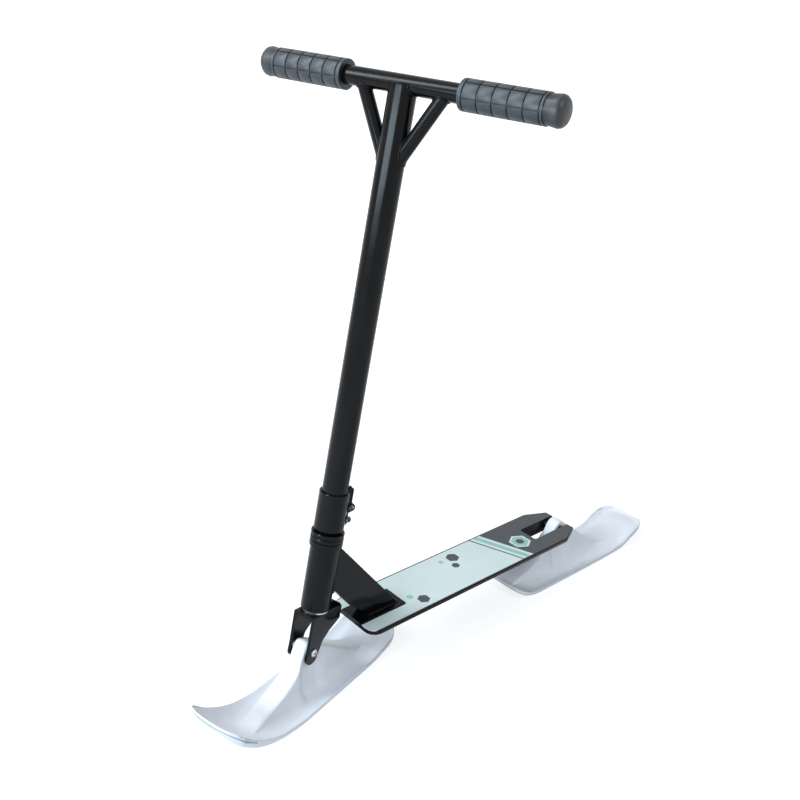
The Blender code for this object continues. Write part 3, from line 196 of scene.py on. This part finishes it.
# The deck print, in metres on the deck.
SHEET_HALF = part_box("deck_sheet")[1][0]
SHEET_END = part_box("deck_sheet")[1][1]
DARK, ACCENT, BARE = range(3)
PRINT_BORDER = 0.0017
PRINT_SLANT = (-0.34, 0.94, 0)
# Start and end along the slant, and the ink.
PRINT_BARS = ((0.103, SHEET_END + 0.1, DARK), (0.0895, 0.0975, ACCENT), (0.0815, 0.084, DARK))
# Middle, reach and ink.
PRINT_HEXAGONS = ((0.006, 0.1335, 0.0150, BARE), (0.006, 0.1335, 0.0125, ACCENT), (0.006, 0.1335, 0.0060, DARK),
                  (-0.0235, 0.0210, 0.0090, DARK), (-0.0060, 0.0110, 0.0055, DARK),
                  (-0.0245, -0.0010, 0.0035, ACCENT), (0.0265, -0.0800, 0.0080, DARK),
                  (0.0120, -0.0925, 0.0045, ACCENT))
# Direction from the middle of an upright hexagon to its slanted side.
HEXAGON_SIDE = (0.866, 0.5, 0)


def powder_coat(finishes, sizes):
    """Powder coat: a satin film with a faint orange peel, so highlights are soft and slightly broken."""
    made, tree = blank("black powder coat")
    place = add(tree, "ShaderNodeTexCoord", out="Object")
    cloud = add(tree, "ShaderNodeTexNoise", {"Vector": place, "Scale": 1 / PAINT_CLOUD, "Detail": 3}, "Fac")
    share = add(tree, "ShaderNodeMapRange", {"Value": cloud, **MIDDLE}, "Result")
    satin = add(tree, "ShaderNodeMapRange", {"Value": cloud, **MIDDLE, "To Min": 0.15, "To Max": 0.20}, "Result")
    dark, pale = tint(finishes.paint, 0.85), tint(finishes.paint, 1.25)
    base = add(tree, "ShaderNodeMix", {"Factor": share, FIRST: dark, SECOND: pale}, **COLOURS)
    peel = add(tree, "ShaderNodeTexNoise", {"Vector": place, "Scale": 1 / sizes.peel, "Detail": 1}, "Fac")
    bump = add(tree, "ShaderNodeBump", {"Height": peel, "Strength": 0.06, "Distance": FINE_RELIEF}, "Normal")
    close(tree, {"Base Color": base, "Roughness": satin, "IOR": 1.5, "Specular IOR Level": 0.14, "Normal": bump})
    return made


def grip_rubber(finishes, sizes):
    """Moulded rubber: grainy with a low sheen, a little greyer where hands rub it, with painted shade in its furrows.
    """
    made, tree = blank("moulded grip rubber")
    place = add(tree, "ShaderNodeTexCoord", out="Object")
    wear_and_edge_shade = add(tree, "ShaderNodeTexNoise", {"Vector": place, "Scale": 1 / RUBBED_PATCH, "Detail": 3}, "Fac")
    share = add(tree, "ShaderNodeMapRange", {"Value": wear_and_edge_shade, **MIDDLE}, "Result")
    sheen = add(tree, "ShaderNodeMapRange", {"Value": wear_and_edge_shade, **MIDDLE, "To Min": 0.38, "To Max": 0.48}, "Result")
    dark, pale = tint(finishes.rubber, 0.85), tint(finishes.rubber, 1.2)
    block = add(tree, "ShaderNodeMix", {"Factor": share, FIRST: dark, SECOND: pale}, **COLOURS)
    away = add(tree, "ShaderNodeVectorMath", {0: place, 1: BAR_MIDDLE}, "Vector", operation="SUBTRACT")
    round_bar = add(tree, "ShaderNodeVectorMath", {0: away, 1: LEFT}, "Vector", operation="CROSS_PRODUCT")
    radius = add(tree, "ShaderNodeVectorMath", {0: round_bar}, "Value", operation="LENGTH")
    # Painted shade: the rubber darkens towards the floor of each furrow, by the distance from the bar's axis.
    furrow_shade_mask = add(tree, "ShaderNodeMapRange", {"Value": radius, "From Min": GRIP_RADIUS - FURROW_SHADE_FLOOR,
                                              "From Max": GRIP_RADIUS - FURROW_SHADE_EDGE}, "Result")
    furrow_painted_shade = tint(finishes.rubber, 0.25)
    base = add(tree, "ShaderNodeMix", {"Factor": furrow_shade_mask, FIRST: furrow_painted_shade, SECOND: block}, **COLOURS)
    grain = add(tree, "ShaderNodeTexNoise", {"Vector": place, "Scale": 1 / sizes.grain, "Detail": 2}, "Fac")
    bump = add(tree, "ShaderNodeBump", {"Height": grain, "Strength": 0.25, "Distance": FINE_RELIEF}, "Normal")
    close(tree, {"Base Color": base, "Roughness": sheen, "IOR": 1.52, "Normal": bump})
    return made


def ski_plastic(finishes, sizes):
    """Moulded polyethylene: waxy white with cool patches, fine scuffs along the ski, and painted shade along its
    outer edges.
    """
    made, tree = blank("moulded white polyethylene")
    place = add(tree, "ShaderNodeTexCoord", out="Object")
    patch = add(tree, "ShaderNodeTexNoise", {"Vector": place, "Scale": 1 / sizes.mottle, "Detail": 4,
                                             "Roughness": 0.6}, "Fac")
    share = add(tree, "ShaderNodeMapRange", {"Value": patch, "From Min": 0.35, "From Max": 0.75}, "Result")
    cool = tint(finishes.ski, 0.93)
    white = add(tree, "ShaderNodeMix", {"Factor": share, FIRST: finishes.ski, SECOND: cool}, **COLOURS)
    wear_and_edge_shade = []
    # Painted shade: the plastic greys towards the outer edges of the sole and of the top.
    for name, most in EDGE_SHADE_SHARES.items():
        away = add(tree, "ShaderNodeAttribute", out="Fac", attribute_name=name)
        wear_and_edge_shade.append(add(tree, "ShaderNodeMapRange", {"Value": away, "From Min": EDGE_LINE, "From Max": EDGE_FADE,
                                                       "To Min": most, "To Max": 0}, "Result"))
    edge = add(tree, "ShaderNodeMath", dict(enumerate(wear_and_edge_shade)), "Value", operation="MAXIMUM")
    base = add(tree, "ShaderNodeMix", {"Factor": edge, FIRST: white, SECOND: finishes.ski_edge_shade}, **COLOURS)
    drawn = add(tree, "ShaderNodeMapping", {"Vector": place, "Scale": (SCUFF_STRETCH, 1, SCUFF_STRETCH)}, "Vector")
    scuffs = add(tree, "ShaderNodeTexNoise", {"Vector": drawn, "Scale": 1 / (sizes.scuff * SCUFF_STRETCH),
                                              "Detail": 3}, "Fac")
    waxy = add(tree, "ShaderNodeMapRange", {"Value": scuffs, **MIDDLE, "To Min": 0.33, "To Max": 0.48}, "Result")
    bump = add(tree, "ShaderNodeBump", {"Height": scuffs, "Strength": 0.05, "Distance": SCUFF_RELIEF}, "Normal")
    close(tree, {"Base Color": base, "Roughness": waxy, "IOR": 1.51, "Normal": bump})
    return made


def zinc_steel(finishes, sizes):
    """Zinc-plated steel: bright grey metal with a fine turned grain."""
    made, tree = blank("zinc plated steel")
    place = add(tree, "ShaderNodeTexCoord", out="Object")
    grain = add(tree, "ShaderNodeTexNoise", {"Vector": place, "Scale": 1 / STEEL_GRAIN, "Detail": 2}, "Fac")
    turned = add(tree, "ShaderNodeMapRange", {"Value": grain, **MIDDLE, "To Min": 0.25, "To Max": 0.4}, "Result")
    close(tree, {"Base Color": finishes.steel, "Metallic": 1, "Roughness": turned})
    return made


def oxide_steel(finishes, sizes):
    """Black-oxide steel of the clamp's bolts: dark metal that rubs bright in small patches."""
    made, tree = blank("black oxide steel")
    place = add(tree, "ShaderNodeTexCoord", out="Object")
    rub = add(tree, "ShaderNodeTexNoise", {"Vector": place, "Scale": 1 / OXIDE_PATCH, "Detail": 3}, "Fac")
    share = add(tree, "ShaderNodeMapRange", {"Value": rub, "From Min": 0.45, "From Max": 0.75}, "Result")
    base = add(tree, "ShaderNodeMix", {"Factor": share, FIRST: finishes.oxide, SECOND: finishes.steel}, **COLOURS)
    satin = add(tree, "ShaderNodeMapRange", {"Value": rub, **MIDDLE, "To Min": 0.28, "To Max": 0.42}, "Result")
    close(tree, {"Base Color": base, "Metallic": 1, "Roughness": satin})
    return made


def bush_plastic(finishes, sizes):
    """Turned acetal: a dark plastic with a low sheen."""
    made, tree = blank("turned acetal")
    place = add(tree, "ShaderNodeTexCoord", out="Object")
    grain = add(tree, "ShaderNodeTexNoise", {"Vector": place, "Scale": 1 / ACETAL_GRAIN, "Detail": 2}, "Fac")
    pale, dark = linear(ACETAL_PALE), linear(ACETAL_DARK)
    base = add(tree, "ShaderNodeMix", {"Factor": grain, FIRST: pale, SECOND: dark}, **COLOURS)
    sheen = add(tree, "ShaderNodeMapRange", {"Value": grain, **MIDDLE, "To Min": 0.4, "To Max": 0.55}, "Result")
    close(tree, {"Base Color": base, "Roughness": sheen})
    return made


def hexagon(tree, place, centre, reach):
    """1 inside an upright hexagon on the deck, 0 outside."""
    shift = add(tree, "ShaderNodeVectorMath", {0: place, 1: (*centre, 0)}, "Vector", operation="SUBTRACT")
    corner = add(tree, "ShaderNodeVectorMath", {0: shift}, "Vector", operation="ABSOLUTE")
    across = add(tree, "ShaderNodeVectorMath", {0: corner, 1: HEXAGON_SIDE}, "Value", operation="DOT_PRODUCT")
    along = add(tree, "ShaderNodeSeparateXYZ", {0: corner}, "Y")
    furthest = add(tree, "ShaderNodeMath", {0: across, 1: along}, "Value", operation="MAXIMUM")
    return add(tree, "ShaderNodeMath", {0: furthest, 1: reach}, "Value", operation="LESS_THAN")


def deck_print(finishes, sizes):
    """Printed vinyl sheet: a pale matt ground, slanted bars, plain hexagons and a dark end, finely sanded."""
    made, tree = blank("printed vinyl sheet")
    place = add(tree, "ShaderNodeTexCoord", out="Object")
    soft = add(tree, "ShaderNodeTexNoise", {"Vector": place, "Scale": 1 / SHEET_CLOUD, "Detail": 3}, "Fac")
    share = add(tree, "ShaderNodeMapRange", {"Value": soft, **MIDDLE}, "Result")
    worn = tint(finishes.sheet, 0.95)
    base = add(tree, "ShaderNodeMix", {"Factor": share, FIRST: finishes.sheet, SECOND: worn}, **COLOURS)
    slant = add(tree, "ShaderNodeVectorMath", {0: place, 1: PRINT_SLANT}, "Value", operation="DOT_PRODUCT")
    side = add(tree, "ShaderNodeSeparateXYZ", {0: place}, "X")
    off_middle = add(tree, "ShaderNodeMath", {0: side}, "Value", operation="ABSOLUTE")
    inks = {DARK: finishes.print_dark, ACCENT: finishes.print_accent, BARE: finishes.sheet}
    layers = []
    for start, end, ink in PRINT_BARS:
        bar = {0: slant, 1: (start + end) / 2, 2: (end - start) / 2}
        layers.append((add(tree, "ShaderNodeMath", bar, "Value", operation="COMPARE"), inks[ink]))
    for x, y, reach, ink in PRINT_HEXAGONS:
        layers.append((hexagon(tree, place, (x, y), reach), inks[ink]))
    border = {0: off_middle, 1: SHEET_HALF - PRINT_BORDER}
    layers.append((add(tree, "ShaderNodeMath", border, "Value", operation="GREATER_THAN"),
                   tint(finishes.print_dark, 0.4)))
    for inside, ink in layers:
        base = add(tree, "ShaderNodeMix", {"Factor": inside, FIRST: base, SECOND: ink}, **COLOURS)
    grain = add(tree, "ShaderNodeTexNoise", {"Vector": place, "Scale": 1 / SHEET_GRAIN, "Detail": 1}, "Fac")
    bump = add(tree, "ShaderNodeBump", {"Height": grain, "Strength": 0.08, "Distance": FINE_RELIEF}, "Normal")
    close(tree, {"Base Color": base, "Roughness": 0.55, "IOR": 1.5, "Normal": bump})
    return made


FINISH_MAKERS = {"black_paint": powder_coat, "grip_rubber": grip_rubber, "white_plastic": ski_plastic,
                 "bright_steel": zinc_steel, "sheet_print": deck_print, "bush_plastic": bush_plastic,
                 "oxide_steel": oxide_steel}


def finish_of(slot):
    """The finish of a material slot, made once."""
    scene = bpy.context.scene
    maker = FINISH_MAKERS[slot]
    known = bpy.data.materials.get(scene.get("finish_" + slot, ""))
    if known is None:
        known = maker(scene.scooter_finishes, scene.scooter_sizes)
        scene["finish_" + slot] = known.name
    return known


def deselect():
    """Leaves edit mode and selects nothing."""
    if bpy.context.object and bpy.context.object.mode != "OBJECT":
        bpy.ops.object.mode_set(mode="OBJECT")
    bpy.ops.object.select_all(action="DESELECT")


def pick(piece):
    """Selects one object alone and makes it active."""
    deselect()
    piece.select_set(True)
    bpy.context.view_layer.objects.active = piece


def merged_copy(node, name):
    """A copy of a CAD node with its own mesh, its loose triangles merged, left picked in edit mode."""
    copy = bpy.data.objects.new(name, NODES[node].data.copy())
    bpy.context.scene.collection.objects.link(copy)
    copy.data.materials.clear()
    copy.data.materials.append(finish_of(SLOT_OF[node]))
    pick(copy)
    if copy.data.has_custom_normals:
        bpy.ops.mesh.customdata_custom_splitnormals_clear()
    bpy.ops.object.mode_set(mode="EDIT")
    bpy.ops.mesh.select_all(action="SELECT")
    bpy.ops.mesh.remove_doubles(threshold=MERGE)
    return copy


def stand_in(copy, node):
    """Lets a finished piece ride with the node's body in place of the node."""
    deselect()
    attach(copy, BODY_OF[node])
    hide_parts(node)


class SCOOTER_OT_frame_finish(bpy.types.Operator):
    """Gives every CAD node its finish and smooths its round faces"""
    bl_idname = "scooter.frame_finish"
    bl_label = "Finish The Frame"

    def execute(self, context):
        for name, piece in NODES.items():
            piece.data.materials.clear()
            clamp_fastener = name.startswith(("clamp_bolt", "clamp_nut"))
            piece.data.materials.append(finish_of("oxide_steel" if clamp_fastener else SLOT_OF[name]))
            pick(piece)
            if piece.data.has_custom_normals:
                bpy.ops.mesh.customdata_custom_splitnormals_clear()
            piece.data.shade_smooth()
            piece.modifiers.new("weld", "WELD").merge_threshold = MERGE
            split = piece.modifiers.new("edges", "EDGE_SPLIT")
            split.split_angle = SHARP_ANGLE
            split.use_edge_sharp = False
        deselect()
        return {"FINISHED"}


# The angle up to which two triangles of a ski join in one face, and how often the faces are then halved.
QUAD_ANGLE = math.radians(40)
SKI_LEVELS = 2
# How near its outline, seen from above, a point of a ski counts as its outer edge. The edge is sampled as finely.
RIM_REACH = 0.0006


def beside(place, a, b):
    """Distance of a place from the line between two points."""
    share = intersect_point_line(place, a, b)[1]
    return (place - a.lerp(b, min(1, max(0, share)))).length


class SCOOTER_OT_skis(bpy.types.Operator):
    """Moulds both skis with flowing faces and softly rounded edges"""
    bl_idname = "scooter.skis"
    bl_label = "Mould The Skis"

    def outer_edges(self, ski):
        """Points along the outer edge of the sole and of the top, where painted shade greys the plastic."""
        bm = bmesh.from_edit_mesh(ski.data)
        spots = [vert.co.xy for vert in bm.verts]
        rim = [spots[i] for i in convex_hull_2d(spots)]
        kind = {}
        for vert in bm.verts:
            away = min(beside(vert.co.xy, a, b) for a, b in zip(rim, rim[1:] + rim[:1]))
            if away < RIM_REACH:
                kind[vert] = "sole_edge" if vert.normal.z < 0 else "top_edge"
        found = {name: [] for name in EDGE_SHADE_SHARES}
        for edge in bm.edges:
            a, b = edge.verts
            if a in kind and kind[a] == kind.get(b):
                steps = max(1, round(edge.calc_length() / RIM_REACH))
                found[kind[a]] += [a.co.lerp(b.co, step / steps) for step in range(steps + 1)]
        return found

    def store_distance(self, ski, name, places):
        """Keeps each point's distance from the edge as an attribute."""
        tree = KDTree(len(places))
        for i, place in enumerate(places):
            tree.insert(place, i)
        tree.balance()
        away = [tree.find(vert.co)[2] for vert in ski.data.vertices]
        ski.data.attributes.new(name, "FLOAT", "POINT").data.foreach_set("value", away)

    def execute(self, context):
        for node in ("front_ski", "rear_ski"):
            ski = merged_copy(node, node + "_moulded")
            bpy.ops.mesh.tris_convert_to_quads(face_threshold=QUAD_ANGLE, shape_threshold=QUAD_ANGLE)
            bpy.ops.mesh.select_all(action="DESELECT")
            found = self.outer_edges(ski)
            bpy.ops.object.mode_set(mode="OBJECT")
            flow = ski.modifiers.new("flow", "SUBSURF")
            flow.levels = SKI_LEVELS
            flow.render_levels = SKI_LEVELS
            bpy.ops.object.modifier_apply(modifier=flow.name)
            for name, places in found.items():
                self.store_distance(ski, name, places)
            bpy.ops.object.shade_smooth()
            stand_in(ski, node)
        return {"FINISHED"}


# Points round a saddle, and along each arc of a rim.
SADDLE_STEPS = 48
# Each ripple of a bead takes this many points. The first stands out, and the rest lie lower, as shares of the radius.
RIPPLE_STEPS = 3
RIPPLE_LOW = 0.9
RIPPLE_RISE = 0.2
BEAD_ROUNDNESS = 2
# How near the neck's lowest face, and the head tube's wall, a point of the neck counts as on it.
FOOT_REACH = 0.0005
WALL_REACH = 0.001


def even(points, gap):
    """Points spread evenly round a closed path, about one gap apart."""
    path = [Vector(p) for p in points]
    path.append(path[0])
    marks = [0.0]
    for a, b in zip(path, path[1:]):
        marks.append(marks[-1] + (b - a).length)
    count = max(4, round(marks[-1] / gap))
    result = []
    part = 0
    for i in range(count):
        mark = marks[-1] * i / count
        while part < len(path) - 2 and marks[part + 1] < mark:
            part += 1
        span = marks[part + 1] - marks[part]
        result.append(path[part].lerp(path[part + 1], (mark - marks[part]) / span if span else 0))
    return result


def saddle(start, way, radius, axis_point, axis, wall):
    """The line where a round brace that starts at a point and runs one way meets the wall of a tube."""
    side = way.cross(axis).normalized()
    up = side.cross(way)
    path = []
    for step in range(SADDLE_STEPS):
        angle = math.tau * step / SADDLE_STEPS
        place = start + radius * (math.cos(angle) * side + math.sin(angle) * up) - axis_point
        flat_place = place - place.dot(axis) * axis
        flat_way = way - way.dot(axis) * axis
        a, b, c = flat_way.length_squared, flat_way.dot(flat_place), flat_place.length_squared - wall ** 2
        reach = (-b - math.sqrt(b * b - a * c)) / a
        path.append(axis_point + place + way * reach)
    return path


class SCOOTER_OT_welds(bpy.types.Operator):
    """Lays rippled weld beads on the joints of the bar and of the neck"""
    bl_idname = "scooter.welds"
    bl_label = "Lay The Welds"

    def bead(self, sizes, paths, name, body):
        """One piece of black beads along closed paths, which rides on a body."""
        curve = bpy.data.curves.new(name, "CURVE")
        curve.dimensions = "3D"
        curve.bevel_depth = sizes.bead
        curve.bevel_resolution = BEAD_ROUNDNESS
        for path in paths:
            points = even(path, sizes.ripple / RIPPLE_STEPS)
            spline = curve.splines.new("POLY")
            spline.points.add(len(points) - 1)
            spline.use_cyclic_u = True
            for i, (spot, place) in enumerate(zip(spline.points, points)):
                spot.co = (*place, 1)
                spot.radius = RIPPLE_LOW + RIPPLE_RISE * (i % RIPPLE_STEPS == 0)
        weld = bpy.data.objects.new(name, curve)
        bpy.context.scene.collection.objects.link(weld)
        pick(weld)
        bpy.ops.object.convert(target="MESH")
        weld = bpy.context.object
        weld.data.materials.clear()
        weld.data.materials.append(finish_of("black_paint"))
        bpy.ops.object.shade_smooth()
        deselect()
        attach(weld, body)

    def bar(self):
        """The braces on both tubes, and the upright's rim round the cross tube."""
        paths = []
        for side in (-1, 1):
            top = BAR_MIDDLE + side * BRACE_TOP * LEFT
            foot = BAR_FOOT + BRACE_FOOT_STATION * UPRIGHT + side * BRACE_FOOT * LEFT
            middle = (top + foot) / 2
            way = (top - foot).normalized()
            paths.append(saddle(middle, way, BRACE_RADIUS, BAR_MIDDLE, LEFT, CROSS_RADIUS))
            paths.append(saddle(middle, -way, BRACE_RADIUS, BAR_FOOT, UPRIGHT, BAR_RADIUS))
        rim = []
        for side in (1, -1):
            for step in range(SADDLE_STEPS + 1):
                angle = side * math.pi * (step / SADDLE_STEPS - 0.5)
                ahead = CROSS_RADIUS * math.sin(angle)
                out = side * math.sqrt(BAR_RADIUS ** 2 - ahead ** 2)
                rim.append(BAR_MIDDLE - CROSS_RADIUS * math.cos(angle) * UPRIGHT + ahead * AHEAD + out * LEFT)
            corner = math.asin(CROSS_RADIUS / BAR_RADIUS)
            for step in range(1, SADDLE_STEPS):
                angle = corner + (math.pi - 2 * corner) * step / SADDLE_STEPS
                rim.append(BAR_MIDDLE + side * BAR_RADIUS * (math.cos(angle) * LEFT + math.sin(angle) * AHEAD))
        paths.append(rim)
        return paths

    def neck(self):
        """The neck's foot on its flange, and its front end on the head tube."""
        places = [vert.co for vert in NODES["neck_box"].data.vertices]
        low = min(place.z for place in places)
        foot = [place for place in places if place.z < low + FOOT_REACH]
        half = max(place.x for place in foot)
        front, back = min(place.y for place in foot), max(place.y for place in foot)
        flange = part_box("neck_flange")[1][2]
        ring = [(-half, front, flange), (half, front, flange), (half, back, flange), (-half, back, flange)]
        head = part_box("head_tube")
        radius = (head[1][0] - head[0][0]) / 2
        stations = []
        for place in places:
            away = place - BAR_FOOT
            station = away.dot(UPRIGHT)
            if (away - station * UPRIGHT).length < radius + WALL_REACH:
                stations.append(station)
        across = Vector((1, 0, 0))
        behind = UPRIGHT.cross(across)
        wide = math.asin(half / radius)
        path = []
        for side, station in ((1, min(stations)), (-1, max(stations))):
            for step in range(SADDLE_STEPS + 1):
                angle = side * wide * (2 * step / SADDLE_STEPS - 1)
                path.append(BAR_FOOT + station * UPRIGHT
                            + radius * (math.cos(angle) * behind + math.sin(angle) * across))
        return [ring, path]

    def execute(self, context):
        sizes = context.scene.scooter_sizes
        self.bead(sizes, self.bar(), "bar_welds", "steering")
        self.bead(sizes, self.neck(), "neck_welds", "frame")
        return {"FINISHED"}


# Triangles that lie within FLAT_ANGLE join in one face, and edges sharper than BLOCK_ANGLE are rounded.
FLAT_ANGLE = math.radians(1)
BLOCK_ANGLE = math.radians(40)


class SCOOTER_OT_grips(bpy.types.Operator):
    """Moulds both grips with rounded blocks"""
    bl_idname = "scooter.grips"
    bl_label = "Mould The Grips"

    def execute(self, context):
        sizes = context.scene.scooter_sizes
        for node in ("grip_left", "grip_right"):
            grip = merged_copy(node, node + "_moulded")
            bpy.ops.mesh.dissolve_limited(angle_limit=FLAT_ANGLE)
            bpy.ops.object.mode_set(mode="OBJECT")
            soft = grip.modifiers.new("soft", "BEVEL")
            soft.width = sizes.grip_round
            soft.segments = 2
            soft.limit_method = "ANGLE"
            soft.angle_limit = BLOCK_ANGLE
            bpy.ops.object.modifier_apply(modifier=soft.name)
            bpy.ops.object.shade_smooth_by_angle(angle=SHARP_ANGLE)
            stand_in(grip, node)
        return {"FINISHED"}


# The camera stands off the rear ski's axle, and looks left and down by the turn and the drop. Its lens is in mm.
CAMERA_FROM_AXLE = Vector((0.804, -1.0543, 0.7827))
CAMERA_TURN = math.radians(48.33)
CAMERA_DROP = math.radians(23.84)
CAMERA_ROLL = math.radians(2.68)
CAMERA_LENS = 43.03
CAMERA_SENSOR = 36
# The lamps stand round LAMP_AIM, LAMP_AWAY metres off. Each has its turn from straight ahead of the scooter and its
# rise in degrees, its width and height in metres, its power in watts and its tone.
LAMP_AIM = Vector((0, -0.1, 0.55))
LAMP_AWAY = 2.4
LAMPS = {"low": (10, 11, (2.20, 0.40), 50, (0.72, 0.87, 1)),
         "high": (-27, 46, (0.36, 2.40), 50, (0.86, 0.93, 1)),
         "side": (100, 36, (0.35, 0.9), 15, (0.90, 0.95, 1))}
WORLD_TONE = (0.92, 0.95, 1)
WORLD_LIGHT = 0.39
WHITE = (1, 1, 1)
FLOOR_SIZE = 30
FLOOR_DROP = 0.0005
# The floor looks white to the eye and in gloss. Its own white is GLOW_NEAR round the object, so that the shadow
# shows, and rises to 1 between these two distances from the origin.
GLOW_NEAR = 0.72
GLOW_START = 0.6
GLOW_END = 1.6


class SCOOTER_OT_stage(bpy.types.Operator):
    """Builds the floor, the lamps, the world and the camera"""
    bl_idname = "scooter.stage"
    bl_label = "Build The Stage"

    def seen(self, tree):
        """1 for the rays that see, mirror or look through to the background, 0 for the light on the object."""
        path = add(tree, "ShaderNodeLightPath").outputs
        rays = {0: path["Is Camera Ray"], 1: path["Is Glossy Ray"]}
        direct = add(tree, "ShaderNodeMath", rays, "Value", operation="MAXIMUM")
        rays = {0: direct, 1: path["Is Transmission Ray"]}
        return add(tree, "ShaderNodeMath", rays, "Value", operation="MAXIMUM")

    def floor(self, finishes):
        """A pale floor that keeps the object's shadow."""
        deselect()
        bpy.ops.mesh.primitive_plane_add(size=FLOOR_SIZE, location=(0, 0, -FLOOR_DROP))
        ground = bpy.context.object
        ground.name = "studio_floor"
        made, tree = blank("painted studio floor")
        place = add(tree, "ShaderNodeTexCoord", out="Object")
        cloud = add(tree, "ShaderNodeTexNoise", {"Vector": place, "Scale": 1 / FLOOR_CLOUD, "Detail": 2}, "Fac")
        shade = tint(finishes.floor, 0.985)
        base = add(tree, "ShaderNodeMix", {"Factor": cloud, FIRST: finishes.floor, SECOND: shade}, **COLOURS)
        away = add(tree, "ShaderNodeVectorMath", {0: place}, "Value", operation="LENGTH")
        glow = add(tree, "ShaderNodeMapRange", {"Value": away, "From Min": GLOW_START, "From Max": GLOW_END,
                                                "To Min": GLOW_NEAR, "To Max": 1}, "Result")
        seen = add(tree, "ShaderNodeMath", {0: self.seen(tree), 1: glow}, "Value", operation="MULTIPLY")
        close(tree, {"Base Color": base, "Roughness": 0.9, "Emission Color": WHITE, "Emission Strength": seen})
        ground.data.materials.append(made)

    def lamp(self, name, turn, rise, size, power, tone):
        """A soft box that faces LAMP_AIM."""
        turn, rise = math.radians(turn), math.radians(rise)
        place = LAMP_AIM + LAMP_AWAY * Vector((math.sin(turn) * math.cos(rise), -math.cos(turn) * math.cos(rise),
                                               math.sin(rise)))
        data = bpy.data.lights.new(name, "AREA")
        data.shape = "RECTANGLE"
        data.size = size[0]
        data.size_y = size[1]
        data.energy = power
        data.color = tone
        soft_box = bpy.data.objects.new(name, data)
        bpy.context.scene.collection.objects.link(soft_box)
        soft_box.location = place
        soft_box.rotation_euler = (LAMP_AIM - place).to_track_quat("-Z", "Y").to_euler()

    def world(self):
        """Soft light from all round, and white for the rays that see it."""
        world = bpy.data.worlds.new("studio")
        bpy.context.scene.world = world
        world.use_nodes = True
        tree = world.node_tree
        tree.nodes.clear()
        light = add(tree, "ShaderNodeBackground", {"Color": WORLD_TONE, "Strength": WORLD_LIGHT}, "Background")
        white = add(tree, "ShaderNodeBackground", {"Color": WHITE, "Strength": 1}, "Background")
        both = add(tree, "ShaderNodeMixShader", {0: self.seen(tree), 1: light, 2: white}, "Shader")
        add(tree, "ShaderNodeOutputWorld", {"Surface": both})

    def camera(self, scene):
        """The camera of the photograph, rolled a little about its line of sight."""
        camera = bpy.data.objects.new("camera", bpy.data.cameras.new("camera"))
        scene.collection.objects.link(camera)
        camera.data.sensor_width = CAMERA_SENSOR
        camera.data.lens = CAMERA_LENS
        look = Vector((-math.sin(CAMERA_TURN) * math.cos(CAMERA_DROP),
                       math.cos(CAMERA_TURN) * math.cos(CAMERA_DROP), -math.sin(CAMERA_DROP)))
        right = look.cross(Vector((0, 0, 1))).normalized()
        up = right.cross(look)
        level = right * math.cos(CAMERA_ROLL) + up * math.sin(CAMERA_ROLL)
        upright = up * math.cos(CAMERA_ROLL) - right * math.sin(CAMERA_ROLL)
        turn = Matrix((level, upright, -look)).transposed()
        camera.matrix_world = Matrix.Translation(REAR_AXLE + CAMERA_FROM_AXLE) @ turn.to_4x4()
        scene.camera = camera

    def execute(self, context):
        self.floor(context.scene.scooter_finishes)
        self.world()
        for name, facts in LAMPS.items():
            self.lamp(name, *facts)
        self.camera(context.scene)
        context.scene.view_settings.view_transform = "Standard"
        return {"FINISHED"}


class SCOOTER_PT_panel(bpy.types.Panel):
    """Lists the steps that build the scooter's looks"""
    bl_idname = "SCOOTER_PT_panel"
    bl_label = "Snow Scooter"
    bl_space_type = "VIEW_3D"
    bl_region_type = "UI"
    bl_category = "Scooter"

    def draw(self, context):
        for step in STEPS:
            self.layout.operator(step.bl_idname)
        for group in (context.scene.scooter_finishes, context.scene.scooter_sizes):
            for name in group.bl_rna.properties.keys():
                if name not in ("rna_type", "name"):
                    self.layout.prop(group, name)


STEPS = (SCOOTER_OT_frame_finish, SCOOTER_OT_skis, SCOOTER_OT_grips, SCOOTER_OT_welds, SCOOTER_OT_stage)
CLASSES = (ScooterFinishes, ScooterSizes, *STEPS, SCOOTER_PT_panel)


def register():
    for item in CLASSES:
        bpy.utils.register_class(item)
    bpy.types.Scene.scooter_finishes = PointerProperty(type=ScooterFinishes)
    bpy.types.Scene.scooter_sizes = PointerProperty(type=ScooterSizes)


def unregister():
    del bpy.types.Scene.scooter_sizes
    del bpy.types.Scene.scooter_finishes
    for item in reversed(CLASSES):
        bpy.utils.unregister_class(item)


def main():
    register()
    bpy.ops.scooter.frame_finish()
    bpy.ops.scooter.skis()
    bpy.ops.scooter.grips()
    bpy.ops.scooter.welds()
    bpy.ops.scooter.stage()


if __name__ == "__main__":
    main()
